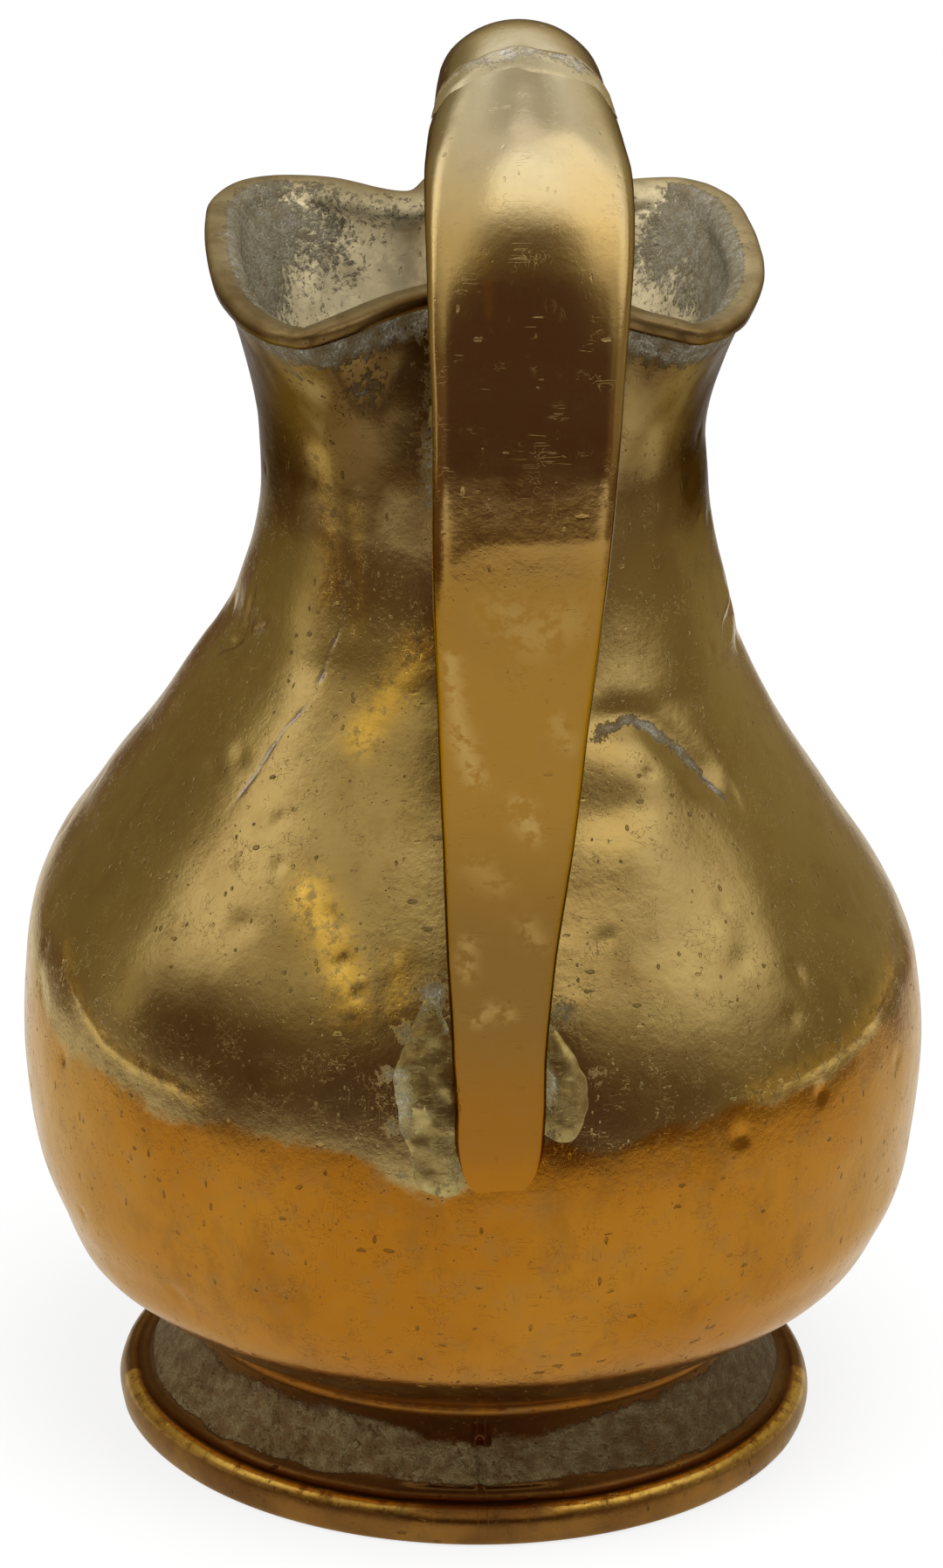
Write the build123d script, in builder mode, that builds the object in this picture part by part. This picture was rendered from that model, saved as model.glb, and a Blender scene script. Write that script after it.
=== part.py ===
from build123d import *
import math
import os

os.makedirs("parts", exist_ok=True)

# A small brass jug on a flared foot ring, with a pinched three-lobed mouth and a strap handle at its back.
# +Z is up, the handle stands at -Y and the pouring lip at +Y.
# The origin is the middle of the foot, on the surface that the jug stands on. All lengths are millimetres.

# Walls
wall = 1.8
lip_edge = 1.2
foot_wall = 2.0

# Belly, from its floor to the shoulder joint
belly_radius = 41.0
belly_height = 38.0
floor_radius = 14.0
floor_height = 5.0
shoulder_radius = 24.2
shoulder_rise = 35.8
lower_belly_shares = [(0.40, 0.15), (0.70, 0.29), (0.88, 0.47)]
upper_belly_shares = [(0.23, 0.43), (0.62, 0.71)]

# Neck and mouth
joint_gap = 0.6
neck_narrowing = 4.4
neck_rise = 20.5
flare_rise = 16.7
mouth_overhang = 1.6
pinch_rise = 2.3
spout_rise = 0.5
tip_rise = 1.1
rim_trim = 0.6
neck_foot_share = 0.5
neck_foot_radius_share = 0.2
flare_shares = [(0.49, 0.27), (0.80, 0.63)]
lobe_crown_share = 0.62

# Half of the mouth seen from above, from the pinch at the handle to the tip of the pouring lip
mouth_shares = [
    (0.00, -0.64),
    (0.26, -0.69),
    (0.52, -0.85),
    (0.70, -0.93),
    (0.88, -0.76),
    (0.98, -0.20),
    (0.99, 0.36),
    (0.89, 0.80),
    (0.68, 0.94),
    (0.42, 0.84),
    (0.27, 0.71),
    (0.20, 0.83),
    (0.14, 0.98),
    (0.00, 1.07),
]

# Foot ring, a flared strip bent round and butted at the back
foot_radius = 32.1
foot_bead = 4.4
foot_height = 10.9
foot_collar_radius = 25.4
foot_flat = 2.8
foot_round = 1.4
flare_hollow = 1.4
butt_gap = 0.8
butt_lift = 0.6
collar_braze = 1.0

# Handle strap and its crook to the mouth, crook_sink in degrees
strap_thickness = 2.8
handle_clearance = 12.7
handle_rise = 30.0
crest_crown = 1.2
crook_sink = 9.0
strap_foot_rise = 2.3
grip_height_share = 0.68
crest_reach_share = 0.424
seam_reach_share = 0.44
strap_step = 0.8
landing_depth = 4.0
strap_shares = [(0.21, 0.31), (0.62, 0.58), (0.94, 0.81)]
crook_clearance = 0.9
crook_height_share = 0.2
crook_drop = 7.4

# Half widths of the handle, seen from the back
strap_foot_half = 3.7
strap_grip_half = 7.3
strap_crest_half = 8.1
crook_end_half = 6.2
strap_grip_level_share = 0.603
strap_crest_level_share = 0.9
strap_foot_round = 3.4

# Braze beside the foot of the strap and under the end of the crook
patch_depth = 1.9
patch_offset = 5.2
left_patch_rise = 9.4
left_patch_half_width = 3.9
left_patch_half_length = 8.8
right_patch_rise = 11.0
right_patch_half_width = 3.4
right_patch_half_length = 6.6
rim_braze_drop = 7.0

# How far cutting shapes run past what they cut
overrun = 2.0

# Radii, heights and reaches that follow from these, each stacked on the one below or inside it
neck_radius = shoulder_radius - neck_narrowing
mouth_half_width = shoulder_radius + mouth_overhang
shoulder_height = belly_height + shoulder_rise
neck_height = shoulder_height + neck_rise
rim_height = neck_height + flare_rise
handle_height = rim_height + handle_rise
strap_bottom = belly_height + strap_foot_rise
strap_length = handle_height - strap_bottom
grip_height = strap_bottom + strap_length * grip_height_share
strap_grip_level = strap_bottom + strap_length * strap_grip_level_share
strap_crest_level = strap_bottom + strap_length * strap_crest_level_share
crook_height = rim_height + handle_rise * crook_height_share
crook_bottom = rim_height - crook_drop
crook_reach = -mouth_shares[0][1] * mouth_half_width + crook_clearance
handle_reach = belly_radius + handle_clearance
crest_reach = crook_reach + (handle_reach - crook_reach) * crest_reach_share
seam_reach = crest_reach + (handle_reach - crest_reach) * seam_reach_share


def between(start, end, shares):
    """The points that lie at the given shares of the way from start to end, across and up."""
    return [
        (start[0] + (end[0] - start[0]) * across, start[1] + (end[1] - start[1]) * up)
        for across, up in shares
    ]


def inset(points, depth, closed=False):
    """The points moved by depth to the left of the line that runs through them, square to it."""
    moved = []
    last = len(points) - 1
    for i, (x, y) in enumerate(points):
        before = points[i - 1] if closed or i > 0 else points[i]
        after = points[(i + 1) % (last + 1)] if closed or i < last else points[i]
        run = (after[0] - before[0], after[1] - before[1])
        length = math.hypot(*run)
        moved.append((x - run[1] / length * depth, y + run[0] / length * depth))
    return moved


def finish(piece, name):
    """Labels a piece and writes it to its own file."""
    piece.part.label = name
    export_step(piece.part, f"parts/{name}.step")


# Belly: the outline runs from the floor's edge, past the foot's collar and the girth, up to the shoulder
collar = (foot_collar_radius, foot_height)
girth = (belly_radius, belly_height)
shoulder = (shoulder_radius, shoulder_height)
lower_outline = [(floor_radius, floor_height), collar, *between(collar, girth, lower_belly_shares), girth]
upper_outline = [*between(girth, shoulder, upper_belly_shares), shoulder]
belly_outline = lower_outline + upper_outline
girth_place = belly_outline.index(girth)

# The belly and the neck leave the shoulder joint in one line
neck_foot_radius = shoulder_radius - (shoulder_radius - neck_radius) * (1 - neck_foot_radius_share)
neck_foot_height = shoulder_height + (neck_height - shoulder_height) * neck_foot_share
below_shoulder = belly_outline[-2]
shoulder_run = (neck_foot_radius - below_shoulder[0], neck_foot_height - below_shoulder[1])


def belly_solid(depth):
    """The belly as a solid of revolution, its outline inset by depth."""
    points = inset(belly_outline, depth)
    points[0] = (floor_radius, floor_height + depth)
    points[girth_place] = (belly_radius - depth, belly_height)
    points[-1] = (shoulder_radius - depth, shoulder_height)
    with BuildPart() as turned:
        with BuildSketch(Plane.XZ):
            with BuildLine():
                Polyline(points[-1], (0, shoulder_height), (0, floor_height + depth), points[0])
                Spline(*points[: girth_place + 1], tangents=[(1, 0), (0, 1)])
                Spline(*points[girth_place:], tangents=[(0, 1), shoulder_run])
            make_face()
        revolve(axis=Axis.Z)
    return turned


belly_outside = belly_solid(0)
belly_inside = belly_solid(wall)

with BuildPart() as belly_bowl:
    add(belly_outside.part)
    add(belly_inside.part, mode=Mode.SUBTRACT)
finish(belly_bowl, "belly_bowl")

# Neck: sections from the shoulder joint to the mouth, each a blend of a circle and the mouth's outline
neck_bottom = shoulder_height + joint_gap
rim_top = rim_height + pinch_rise + rim_trim
mouth_half = [(x * mouth_half_width, y * mouth_half_width) for x, y in mouth_shares]
mouth_outline = mouth_half + [(-x, y) for x, y in reversed(mouth_half[1:-1])]
neck_sections = [
    (neck_bottom, shoulder_radius, 0),
    (neck_foot_height, neck_foot_radius, 0),
    (neck_height, neck_radius, 0),
    *[(neck_height + (rim_top - neck_height) * up, neck_radius, blend) for up, blend in flare_shares],
    (rim_top, neck_radius, 1),
]


def section_points(radius, blend):
    """The outline of a neck section, from a circle at blend 0 to the mouth's outline at blend 1."""
    points = []
    for x, y in mouth_outline:
        size = math.hypot(x, y)
        points.append((x * (blend + (1 - blend) * radius / size), y * (blend + (1 - blend) * radius / size)))
    return points


def neck_solid(depths):
    """The neck's sections lofted together, each inset by its own depth."""
    with BuildPart() as lofted:
        for (height, radius, blend), depth in zip(neck_sections, depths):
            with BuildSketch(Plane.XY.offset(height)):
                with BuildLine():
                    Spline(*inset(section_points(radius, blend), depth, closed=True), periodic=True)
                make_face()
        loft()
    return lofted


neck_outside = neck_solid([0] * len(neck_sections))
neck_inside = neck_solid([wall] * (len(neck_sections) - 1) + [lip_edge])

# The rim rises at the pinch behind the handle's crook, less at the spout, and a little at the lobes' tips
rim_side = mouth_half[-1][1] + overrun
rim_crown = mouth_half_width * lobe_crown_share
rim_over = rim_top + overrun
tip_run = (rim_side - rim_crown, 2 * tip_rise)

with BuildPart() as neck_and_mouth:
    add(neck_outside.part)
    add(neck_inside.part, mode=Mode.SUBTRACT)
    for run, middle_rise in ((rim_side, pinch_rise), (-rim_side, spout_rise)):
        middle = (0, rim_height + middle_rise)
        with BuildSketch(Plane.XZ):
            with BuildLine():
                Spline((-rim_crown, rim_height), middle, (rim_crown, rim_height), tangents=[(1, 0), (1, 0)])
                for side in (-1, 1):
                    crown = (side * rim_crown, rim_height)
                    tip = (side * rim_side, rim_height + tip_rise)
                    Spline(crown, tip, tangents=[(side, 0), (side * tip_run[0], tip_run[1])])
                    Polyline(tip, (side * rim_side, rim_over), (0, rim_over))
            make_face()
        extrude(amount=run, mode=Mode.SUBTRACT)
finish(neck_and_mouth, "neck_and_mouth")

# Shoulder braze: a thin ring between belly and neck
with BuildPart() as shoulder_braze:
    with BuildSketch(Plane.XZ):
        with Locations((shoulder_radius - wall / 2, shoulder_height + joint_gap / 2)):
            Rectangle(wall, joint_gap)
    revolve(axis=Axis.Z)
finish(shoulder_braze, "shoulder_braze")

# Foot ring: a round bead on the table, a hollow flare above it and a collar under the belly
bead_top = (foot_radius - foot_bead / 2, foot_bead)
bead_side = (foot_radius, foot_bead / 2)
bead_bottom = (foot_radius - foot_round, 0)
collar_top = (foot_collar_radius, foot_height + wall)
inner_collar_top = (foot_collar_radius - foot_wall, foot_height + wall)
inner_foot = (bead_bottom[0] - foot_flat, 0)
flare_middle = ((bead_top[0] + collar[0]) / 2 - flare_hollow, (bead_top[1] + collar[1]) / 2 - flare_hollow)
inner_flare_middle = (flare_middle[0] - foot_wall, (flare_middle[1] + inner_foot[1]) / 2)


def foot_strip():
    """The foot's section turned all the way round, trimmed by the belly."""
    with BuildPart() as strip:
        with BuildSketch(Plane.XZ):
            with BuildLine():
                Line(inner_collar_top, collar_top)
                Line(collar_top, collar)
                ThreePointArc(collar, flare_middle, bead_top)
                ThreePointArc(bead_top, bead_side, bead_bottom)
                Line(bead_bottom, inner_foot)
                ThreePointArc(inner_foot, inner_flare_middle, inner_collar_top)
            make_face()
        revolve(axis=Axis.Z)
        add(belly_outside.part, mode=Mode.SUBTRACT)
    return strip


def butt_slot(base):
    """The gap between the strip's two ends, from the given height up."""
    with BuildPart() as slot:
        with BuildSketch(Plane.XY.offset(base)):
            with Locations((0, -foot_radius / 2)):
                Rectangle(butt_gap, foot_radius + overrun)
        extrude(amount=foot_height + overrun)
    return slot


foot_blank = foot_strip()

with BuildPart() as foot_ring:
    add(foot_blank.part)
    add(butt_slot(-overrun).part, mode=Mode.SUBTRACT)
finish(foot_ring, "foot_ring")

with BuildPart() as foot_butt_braze:
    add(foot_blank.part)
    add(butt_slot(butt_lift).part, mode=Mode.INTERSECT)
finish(foot_butt_braze, "foot_butt_braze")

# Collar braze: a fillet round the corner between the foot's collar and the belly
with BuildPart() as foot_collar_braze:
    with BuildSketch(Plane.XZ):
        with Locations(collar):
            Circle(collar_braze)
    revolve(axis=Axis.Z)
    add(belly_outside.part, mode=Mode.SUBTRACT)
    add(foot_blank.part, mode=Mode.SUBTRACT)
    with BuildSketch(Plane.XY.offset(foot_height - collar_braze)):
        Circle(foot_collar_radius)
    extrude(amount=2 * collar_braze, mode=Mode.SUBTRACT)
finish(foot_collar_braze, "foot_collar_braze")

# Handle: a side view of constant thickness, drawn on a plane that counts its reach away from the axis
handle_plane = Plane(origin=(0, 0, 0), x_dir=(0, -1, 0), z_dir=(-1, 0, 0))
strap_foot = (belly_radius + strap_step, strap_bottom)
strap_grip = (handle_reach, grip_height)
strap_outer = [strap_foot, *between(strap_foot, strap_grip, strap_shares), strap_grip]
strap_landing = (belly_radius - landing_depth, strap_bottom)
strap_grip_under = (handle_reach - strap_thickness, grip_height)
strap_under = [strap_landing, *inset(strap_outer, strap_thickness)[1:-1], strap_grip_under]
crest_span = handle_reach - crest_reach
crest_rise = handle_height - grip_height
crook_span = crest_reach - crook_reach
crook_rise = handle_height - crook_height
crook_under = crook_reach + strap_thickness

with BuildPart() as handle_blank:
    with BuildSketch(handle_plane):
        with BuildLine():
            Spline(*strap_outer, tangents=[(0, 1), (0, 1)])
            EllipticalCenterArc((crest_reach, grip_height), crest_span, crest_rise, start_angle=0, arc_size=90)
            EllipticalCenterArc((crest_reach, crook_height), crook_span, crook_rise, start_angle=90, arc_size=90)
            Polyline(
                (crook_reach, crook_height),
                (crook_reach, crook_bottom),
                (crook_under, crook_bottom),
                (crook_under, crook_height),
            )
            EllipticalCenterArc(
                (crest_reach, crook_height),
                crook_span - strap_thickness,
                crook_rise - strap_thickness,
                start_angle=90,
                arc_size=90,
            )
            EllipticalCenterArc(
                (crest_reach, grip_height),
                crest_span - strap_thickness,
                crest_rise - strap_thickness,
                start_angle=0,
                arc_size=90,
            )
            Spline(*strap_under)
            Line(strap_landing, strap_foot)
        make_face()
    extrude(amount=strap_crest_half + overrun, both=True)
    add(belly_outside.part, mode=Mode.SUBTRACT)
    add(neck_outside.part, mode=Mode.SUBTRACT)


def back_view(run, both=False):
    """The strap's outline seen from the back, drawn in the crest seam and run through the handle."""
    crown = handle_height + crest_crown - strap_crest_level
    round_level = strap_bottom + strap_foot_round
    with BuildPart() as view:
        with BuildSketch(Plane.XZ.offset(seam_reach)):
            with BuildLine():
                EllipticalCenterArc((0, strap_crest_level), strap_crest_half, crown, start_angle=0, arc_size=180)
                for side in (-1, 1):
                    Polyline(
                        (side * strap_crest_half, strap_crest_level),
                        (side * strap_grip_half, strap_grip_level),
                        (side * strap_foot_half, round_level),
                    )
                ThreePointArc((-strap_foot_half, round_level), (0, strap_bottom), (strap_foot_half, round_level))
            make_face()
        extrude(amount=handle_reach, dir=run, both=both)
    return view


def crook_region(reach):
    """Everything on the mouth's side of the crest seam, and inside the crest below the grip."""
    with BuildPart() as region:
        with BuildSketch(handle_plane):
            with BuildLine():
                top = handle_height + overrun
                bottom = crook_bottom - overrun
                Polyline(
                    (0, bottom),
                    (crest_reach, bottom),
                    (crest_reach, grip_height),
                    (reach, grip_height),
                    (reach, top),
                    (0, top),
                    close=True,
                )
            make_face()
        extrude(amount=strap_crest_half + 2 * overrun, both=True)
    return region


strap_view = back_view((0, 1, 0), both=True)
sink = math.radians(crook_sink)
crown_view = back_view((0, math.cos(sink), -math.sin(sink)))

# The crook narrows between the crest seam and the crest, seen from above
with BuildPart() as crook_view:
    with BuildSketch(Plane.XY):
        with BuildLine():
            for side in (-1, 1):
                Polyline(
                    (0, -seam_reach - overrun),
                    (side * strap_crest_half, -seam_reach - overrun),
                    (side * strap_crest_half, -seam_reach),
                    (side * crook_end_half, -crest_reach),
                    (side * crook_end_half, 0),
                    (0, 0),
                )
        make_face()
    extrude(amount=handle_height + overrun)

with BuildPart() as handle_strap:
    add(handle_blank.part)
    add(strap_view.part, mode=Mode.INTERSECT)
    add(crook_region(seam_reach + joint_gap / 2).part, mode=Mode.SUBTRACT)
finish(handle_strap, "handle_strap")

with BuildPart() as handle_crook:
    add(handle_blank.part)
    add(crown_view.part, mode=Mode.INTERSECT)
    add(crook_view.part, mode=Mode.INTERSECT)
    add(crook_region(seam_reach - joint_gap / 2).part, mode=Mode.INTERSECT)
finish(handle_crook, "handle_crook")

with BuildPart() as crest_braze:
    add(handle_blank.part)
    add(strap_view.part, mode=Mode.INTERSECT)
    add(crook_region(seam_reach + joint_gap / 2).part, mode=Mode.INTERSECT)
    add(crook_region(seam_reach - joint_gap / 2).part, mode=Mode.SUBTRACT)
finish(crest_braze, "crest_braze")


# Handle brazes: an oval patch on the belly in the corner on each side of the strap's foot, no prouder than it
with BuildPart() as behind_strap_face:
    with BuildSketch(handle_plane):
        with BuildLine():
            Spline(*strap_outer, tangents=[(0, 1), (0, 1)])
            Polyline(strap_grip, (0, grip_height), (0, strap_bottom), strap_foot)
        make_face()
    extrude(amount=strap_crest_half + overrun, both=True)

belly_skin = belly_solid(-patch_depth)
for name, side, rise, half_width, half_length in (
    ("handle_braze_left", -1, left_patch_rise, left_patch_half_width, left_patch_half_length),
    ("handle_braze_right", 1, right_patch_rise, right_patch_half_width, right_patch_half_length),
):
    with BuildPart() as handle_braze:
        with BuildSketch(Plane.XZ):
            with Locations((side * patch_offset, strap_bottom + rise)):
                Ellipse(half_width, half_length)
        extrude(amount=handle_reach)
        add(belly_skin.part, mode=Mode.INTERSECT)
        add(behind_strap_face.part, mode=Mode.INTERSECT)
        add(belly_outside.part, mode=Mode.SUBTRACT)
        add(handle_strap.part, mode=Mode.SUBTRACT)
    finish(handle_braze, name)

# Rim braze: a wedge on the neck under the end of the crook
with BuildPart() as rim_braze:
    with BuildSketch(handle_plane):
        with BuildLine():
            Polyline(
                (crook_reach - wall, crook_bottom),
                (crook_under, crook_bottom),
                (crook_reach - wall, crook_bottom - rim_braze_drop),
                close=True,
            )
        make_face()
    extrude(amount=crook_end_half, both=True)
    add(neck_outside.part, mode=Mode.SUBTRACT)
finish(rim_braze, "rim_braze")
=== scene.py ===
import math
import bpy
import numpy as np
from mathutils import Matrix, Vector


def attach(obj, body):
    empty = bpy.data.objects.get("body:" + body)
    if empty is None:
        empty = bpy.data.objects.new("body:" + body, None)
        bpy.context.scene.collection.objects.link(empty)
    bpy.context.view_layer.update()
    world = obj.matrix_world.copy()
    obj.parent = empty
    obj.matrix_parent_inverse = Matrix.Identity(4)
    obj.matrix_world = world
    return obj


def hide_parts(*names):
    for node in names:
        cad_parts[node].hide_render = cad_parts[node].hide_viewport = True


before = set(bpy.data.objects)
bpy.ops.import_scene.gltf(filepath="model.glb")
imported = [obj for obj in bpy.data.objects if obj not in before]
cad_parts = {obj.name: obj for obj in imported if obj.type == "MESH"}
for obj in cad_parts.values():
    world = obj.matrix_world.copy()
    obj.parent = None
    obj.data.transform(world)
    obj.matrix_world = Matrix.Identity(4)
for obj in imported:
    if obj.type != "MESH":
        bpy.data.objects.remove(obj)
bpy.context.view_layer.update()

# A hand-made brass jug, drawn in millimetres and written to the meshes in metres.
# Angles go round it in degrees from the handle's side (-Y), positive towards +X.
# Noise is written as uneven(points, size of its lumps, seed).
MM = 0.001

TURNS = 840


# ---------------------------------------------------------------- numbers
def through(knots, values, at):
    """A smooth curve through the knots, flat beyond its ends."""
    knots = np.asarray(knots, float)
    values = np.asarray(values, float)
    step = np.diff(knots)
    slope = np.diff(values) / step
    tangent = np.empty_like(values)
    tangent[1:-1] = (slope[:-1] * step[1:] + slope[1:] * step[:-1]) / (step[1:] + step[:-1])
    tangent[0], tangent[-1] = slope[0], slope[-1]
    at = np.clip(np.asarray(at, float), knots[0], knots[-1])
    i = np.clip(np.searchsorted(knots, at, side="right") - 1, 0, len(step) - 1)
    h = step[i]
    t = (at - knots[i]) / h
    return (
        values[i] * (1 + 2 * t) * (1 - t) ** 2
        + tangent[i] * h * t * (1 - t) ** 2
        + values[i + 1] * t * t * (3 - 2 * t)
        + tangent[i + 1] * h * t * t * (t - 1)
    )


def read(table, column, at):
    """A column of a table as a smooth curve over the table's first column."""
    return through([row[0] for row in table], [row[column] for row in table], at)


def lengths_along(line):
    """How far along a line each of its points lies."""
    return np.concatenate([[0], np.cumsum(np.linalg.norm(np.diff(line, axis=0), axis=1))])


def smooth(low, high, x):
    """0 at low, 1 at high and an even S between them. low may be the larger one."""
    t = np.clip((np.asarray(x, float) - low) / (high - low), 0, 1)
    return t * t * (3 - 2 * t)


def bell(x, wide):
    """1 at 0, falling off on both sides."""
    return np.exp(-((x / wide) ** 2))


def uneven(points, size, seed):
    """Smooth noise from -1 to 1 with lumps of the given size, the same on every run."""
    q = np.asarray(points, float) / size + seed * 17.31
    cell = np.floor(q).astype(np.int64)
    t = q - cell
    t = t * t * t * (t * (t * 6 - 15) + 10)
    total = np.zeros(q.shape[:-1])
    for corner in range(8):
        o = np.array([corner & 1, corner >> 1 & 1, corner >> 2 & 1])
        c = cell + o
        h = (c[..., 0] * 73856093) ^ (c[..., 1] * 19349663) ^ (c[..., 2] * 83492791) ^ (seed * 2654435)
        h = h & 0xFFFFFFF
        h = (h * 1103515245 + 12345) & 0x7FFFFFFF
        h = (h ^ (h >> 11)) * 69069 & 0x7FFFFFFF
        value = (h >> 7 & 0xFFFF) / 32767.5 - 1
        total += value * np.prod(np.where(o == 1, t, 1 - t), axis=-1)
    return total


def off_line(points, line):
    """How far each point is from a line, and how far along that line it lies, 0 to 1."""
    line = np.asarray(line, float)
    lengths = np.linalg.norm(np.diff(line, axis=0), axis=1)
    best = np.full(points.shape[:-1], 1e9)
    along = np.zeros(points.shape[:-1])
    passed = 0.0
    for a, b, length in zip(line[:-1], line[1:], lengths):
        run = (b - a) / length
        t = np.clip((points - a) @ run, 0, length)
        d = np.linalg.norm(points - a - t[..., None] * run, axis=-1)
        nearer = d < best
        best = np.where(nearer, d, best)
        along = np.where(nearer, (passed + t) / lengths.sum(), along)
        passed += length
    return best, along


def around(radius, angle, height):
    """Points at a radius, an angle in radians and a height. All three may be grids."""
    radius, angle, height = np.broadcast_arrays(radius, angle, height)
    return np.stack([radius * np.sin(angle), -radius * np.cos(angle), height], axis=-1)


# ---------------------------------------------------------------- the jug's wall
# Radius and height of the outside, from the floor to the waist of the neck
WALL_LINE = np.array([
    (14.0, 5.0), (20.2, 7.3), (25.4, 10.9), (31.64, 14.97), (36.32, 18.76), (39.13, 23.64), (40.6, 30.5),
    (41.0, 38.0), (39.9, 45.5), (37.14, 53.39), (34.0, 58.6), (30.58, 63.42), (27.2, 68.4), (24.2, 74.0),
    (22.1, 79.0), (20.68, 84.05), (19.95, 89.2), (19.8, 94.3),
])
FLOOR_HEIGHT, SEAM_LOW, SEAM_HIGH, WAIST, NECK_RADIUS, WALL = 5.0, 73.8, 74.4, 94.3, 19.8, 1.8
BELLY_RADIUS, BELLY_HEIGHT = 41.0, 38.0
# The neck's radius grows towards the rim with this power of the height above the waist
FLARE = 1.8

# The hand-made lean: height, shift of the left side, shift of the right side, both towards +X
LEAN = [
    (5, 0.0, 0.0), (11, 0.0, 0.1), (18, -0.1, 0.3), (20.5, 0.4, 0.05), (22, 0.65, -0.05), (24, 0.6, 0.1),
    (26.5, 0.35, 0.2), (29, 0.18, 0.12), (32.5, 0.12, 0.04), (38, 0.0, 0.0), (40.5, -0.1, 0.0), (43, -0.3, 0.02),
    (46.5, -0.75, 0.1), (50, -1.1, -0.35), (53.5, -1.1, -0.9), (57.5, -0.85, -1.3), (62, -1.15, -1.2),
    (65, -1.05, -1.12), (69.5, -1.0, -0.85), (73.5, -0.65, -0.8), (75, -0.35, -0.8), (77, 0.0, -0.35),
    (81, 0.0, 0.0), (84.5, 0.1, -0.05), (88, 0.1, -0.2), (91.5, -0.15, -0.25), (95.5, -0.45, -0.5),
    (99.5, -0.5, -0.35), (103, -0.55, -0.1), (107, -0.4, 0.05), (115, -0.3, 0.1),
]

# The rim seen from above: angle, radius, height
RIM = [
    (-180, 26.4, 111.6), (-171.5, 24.4, 111.5), (-166, 21.0, 111.3), (-160, 18.9, 111.2), (-154.6, 20.9, 111.2),
    (-149.5, 25.4, 111.2), (-144, 27.9, 111.2), (-137.3, 29.1, 111.3), (-131.1, 29.0, 111.4),
    (-122.5, 28.0, 111.5), (-109.3, 26.0, 111.6), (-94.2, 24.8, 111.6), (-79.7, 24.9, 111.4), (-62, 26.5, 111.0),
    (-49, 28.1, 110.8), (-40.4, 28.8, 110.9), (-34.6, 28.2, 111.2), (-31.4, 25.0, 111.6), (-28, 21.5, 112.1),
    (-20, 17.9, 112.8), (-9, 16.7, 113.1), (0, 16.4, 113.2), (9, 16.8, 113.1), (17, 17.8, 112.9),
    (23, 20.2, 112.5), (27.8, 23.2, 112.0), (32, 25.2, 111.6), (35.7, 27.2, 111.2), (41.7, 27.5, 110.9),
    (49.4, 26.8, 110.8), (60.8, 25.4, 111.0), (76.5, 24.1, 111.3), (91.7, 23.7, 111.6), (110.3, 24.9, 111.7),
    (125.3, 27.5, 111.5), (135.1, 28.9, 111.3), (142.2, 28.4, 111.2), (147.2, 26.1, 111.2), (152.6, 21.9, 111.2),
    (159.5, 19.2, 111.2), (166, 21.4, 111.3), (171.6, 24.6, 111.5), (180, 26.4, 111.6),
]

turn = np.radians(np.arange(TURNS) * 360.0 / TURNS - 180.0)
turn_degrees = np.degrees(turn)
off_handle = abs(turn_degrees)
rim_radius, rim_height = (read(RIM, column, turn_degrees) for column in (1, 2))
wall_along = lengths_along(WALL_LINE)
# How many samples the wall's and the handle's lines are looked up in
WALL_SAMPLES, HANDLE_SAMPLES = 2000, 6000


def wall_at(along):
    """Radius and height of the even wall at lengths along its line."""
    return through(wall_along, WALL_LINE[:, 0], along), through(wall_along, WALL_LINE[:, 1], along)


def wall_radius(height):
    """The radius of the even wall at a height above the foot, up to the waist."""
    r, z = wall_at(np.linspace(0, wall_along[-1], WALL_SAMPLES))
    return np.interp(height, z, r)


def leaned(points, angle):
    """Shifts points across by the lean at their height."""
    left, right = (read(LEAN, column, points[..., 2]) for column in (1, 2))
    moved = points.copy()
    moved[..., 0] += (left + right) / 2 + (right - left) / 2 * np.sin(angle)
    return moved


def spot(angle, height):
    """A point on the even wall."""
    a = math.radians(angle)
    if height <= WAIST:
        r = float(wall_radius(height))
    else:
        climbed = (height - WAIST) / (float(read(RIM, 2, angle)) - WAIST)
        r = NECK_RADIUS + (float(read(RIM, 1, angle)) - NECK_RADIUS) * climbed**FLARE
    return leaned(np.array([r * math.sin(a), -r * math.cos(a), height]), a)


def spots(*places):
    """Points of the even wall along a smooth line through the given angles and heights."""
    if len(places) < 3:
        return [spot(*p) for p in places]
    at = np.linspace(0, len(places) - 1, 4 * len(places))
    angles, heights = (through(np.arange(len(places)), column, at) for column in np.array(places, float).T)
    return [spot(a, z) for a, z in zip(angles, heights)]


# Rows of the outside: first along the wall line to the waist, then on to the rim
rows_below = 340
rows_above = 72
below_r, below_z = wall_at(np.linspace(0, wall_along[-1], rows_below))
seam_rows = []
for level in (SEAM_LOW, SEAM_HIGH):
    k = int(np.argmin(abs(below_z - level)))
    below_r[k], below_z[k] = wall_radius(level), level
    seam_rows.append(k)
climb = (np.arange(1, rows_above + 1) / rows_above)[:, None]
above_r = NECK_RADIUS + (rim_radius - NECK_RADIUS) * climb**FLARE
above_z = WAIST + (rim_height - WAIST) * climb
outside = np.concatenate([around(below_r[:, None], turn, below_z[:, None]), around(above_r, turn, above_z)])
outside = leaned(outside, turn)
rise = outside[..., 2]


def normals_of(grid):
    """Outward normals of a grid of rows that close round the jug."""
    across = np.roll(grid, -1, axis=1) - np.roll(grid, 1, axis=1)
    n = np.cross(across, np.gradient(grid, axis=0))
    return n / np.maximum(np.linalg.norm(n, axis=-1, keepdims=True), 1e-9)


normal = normals_of(outside)


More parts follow.
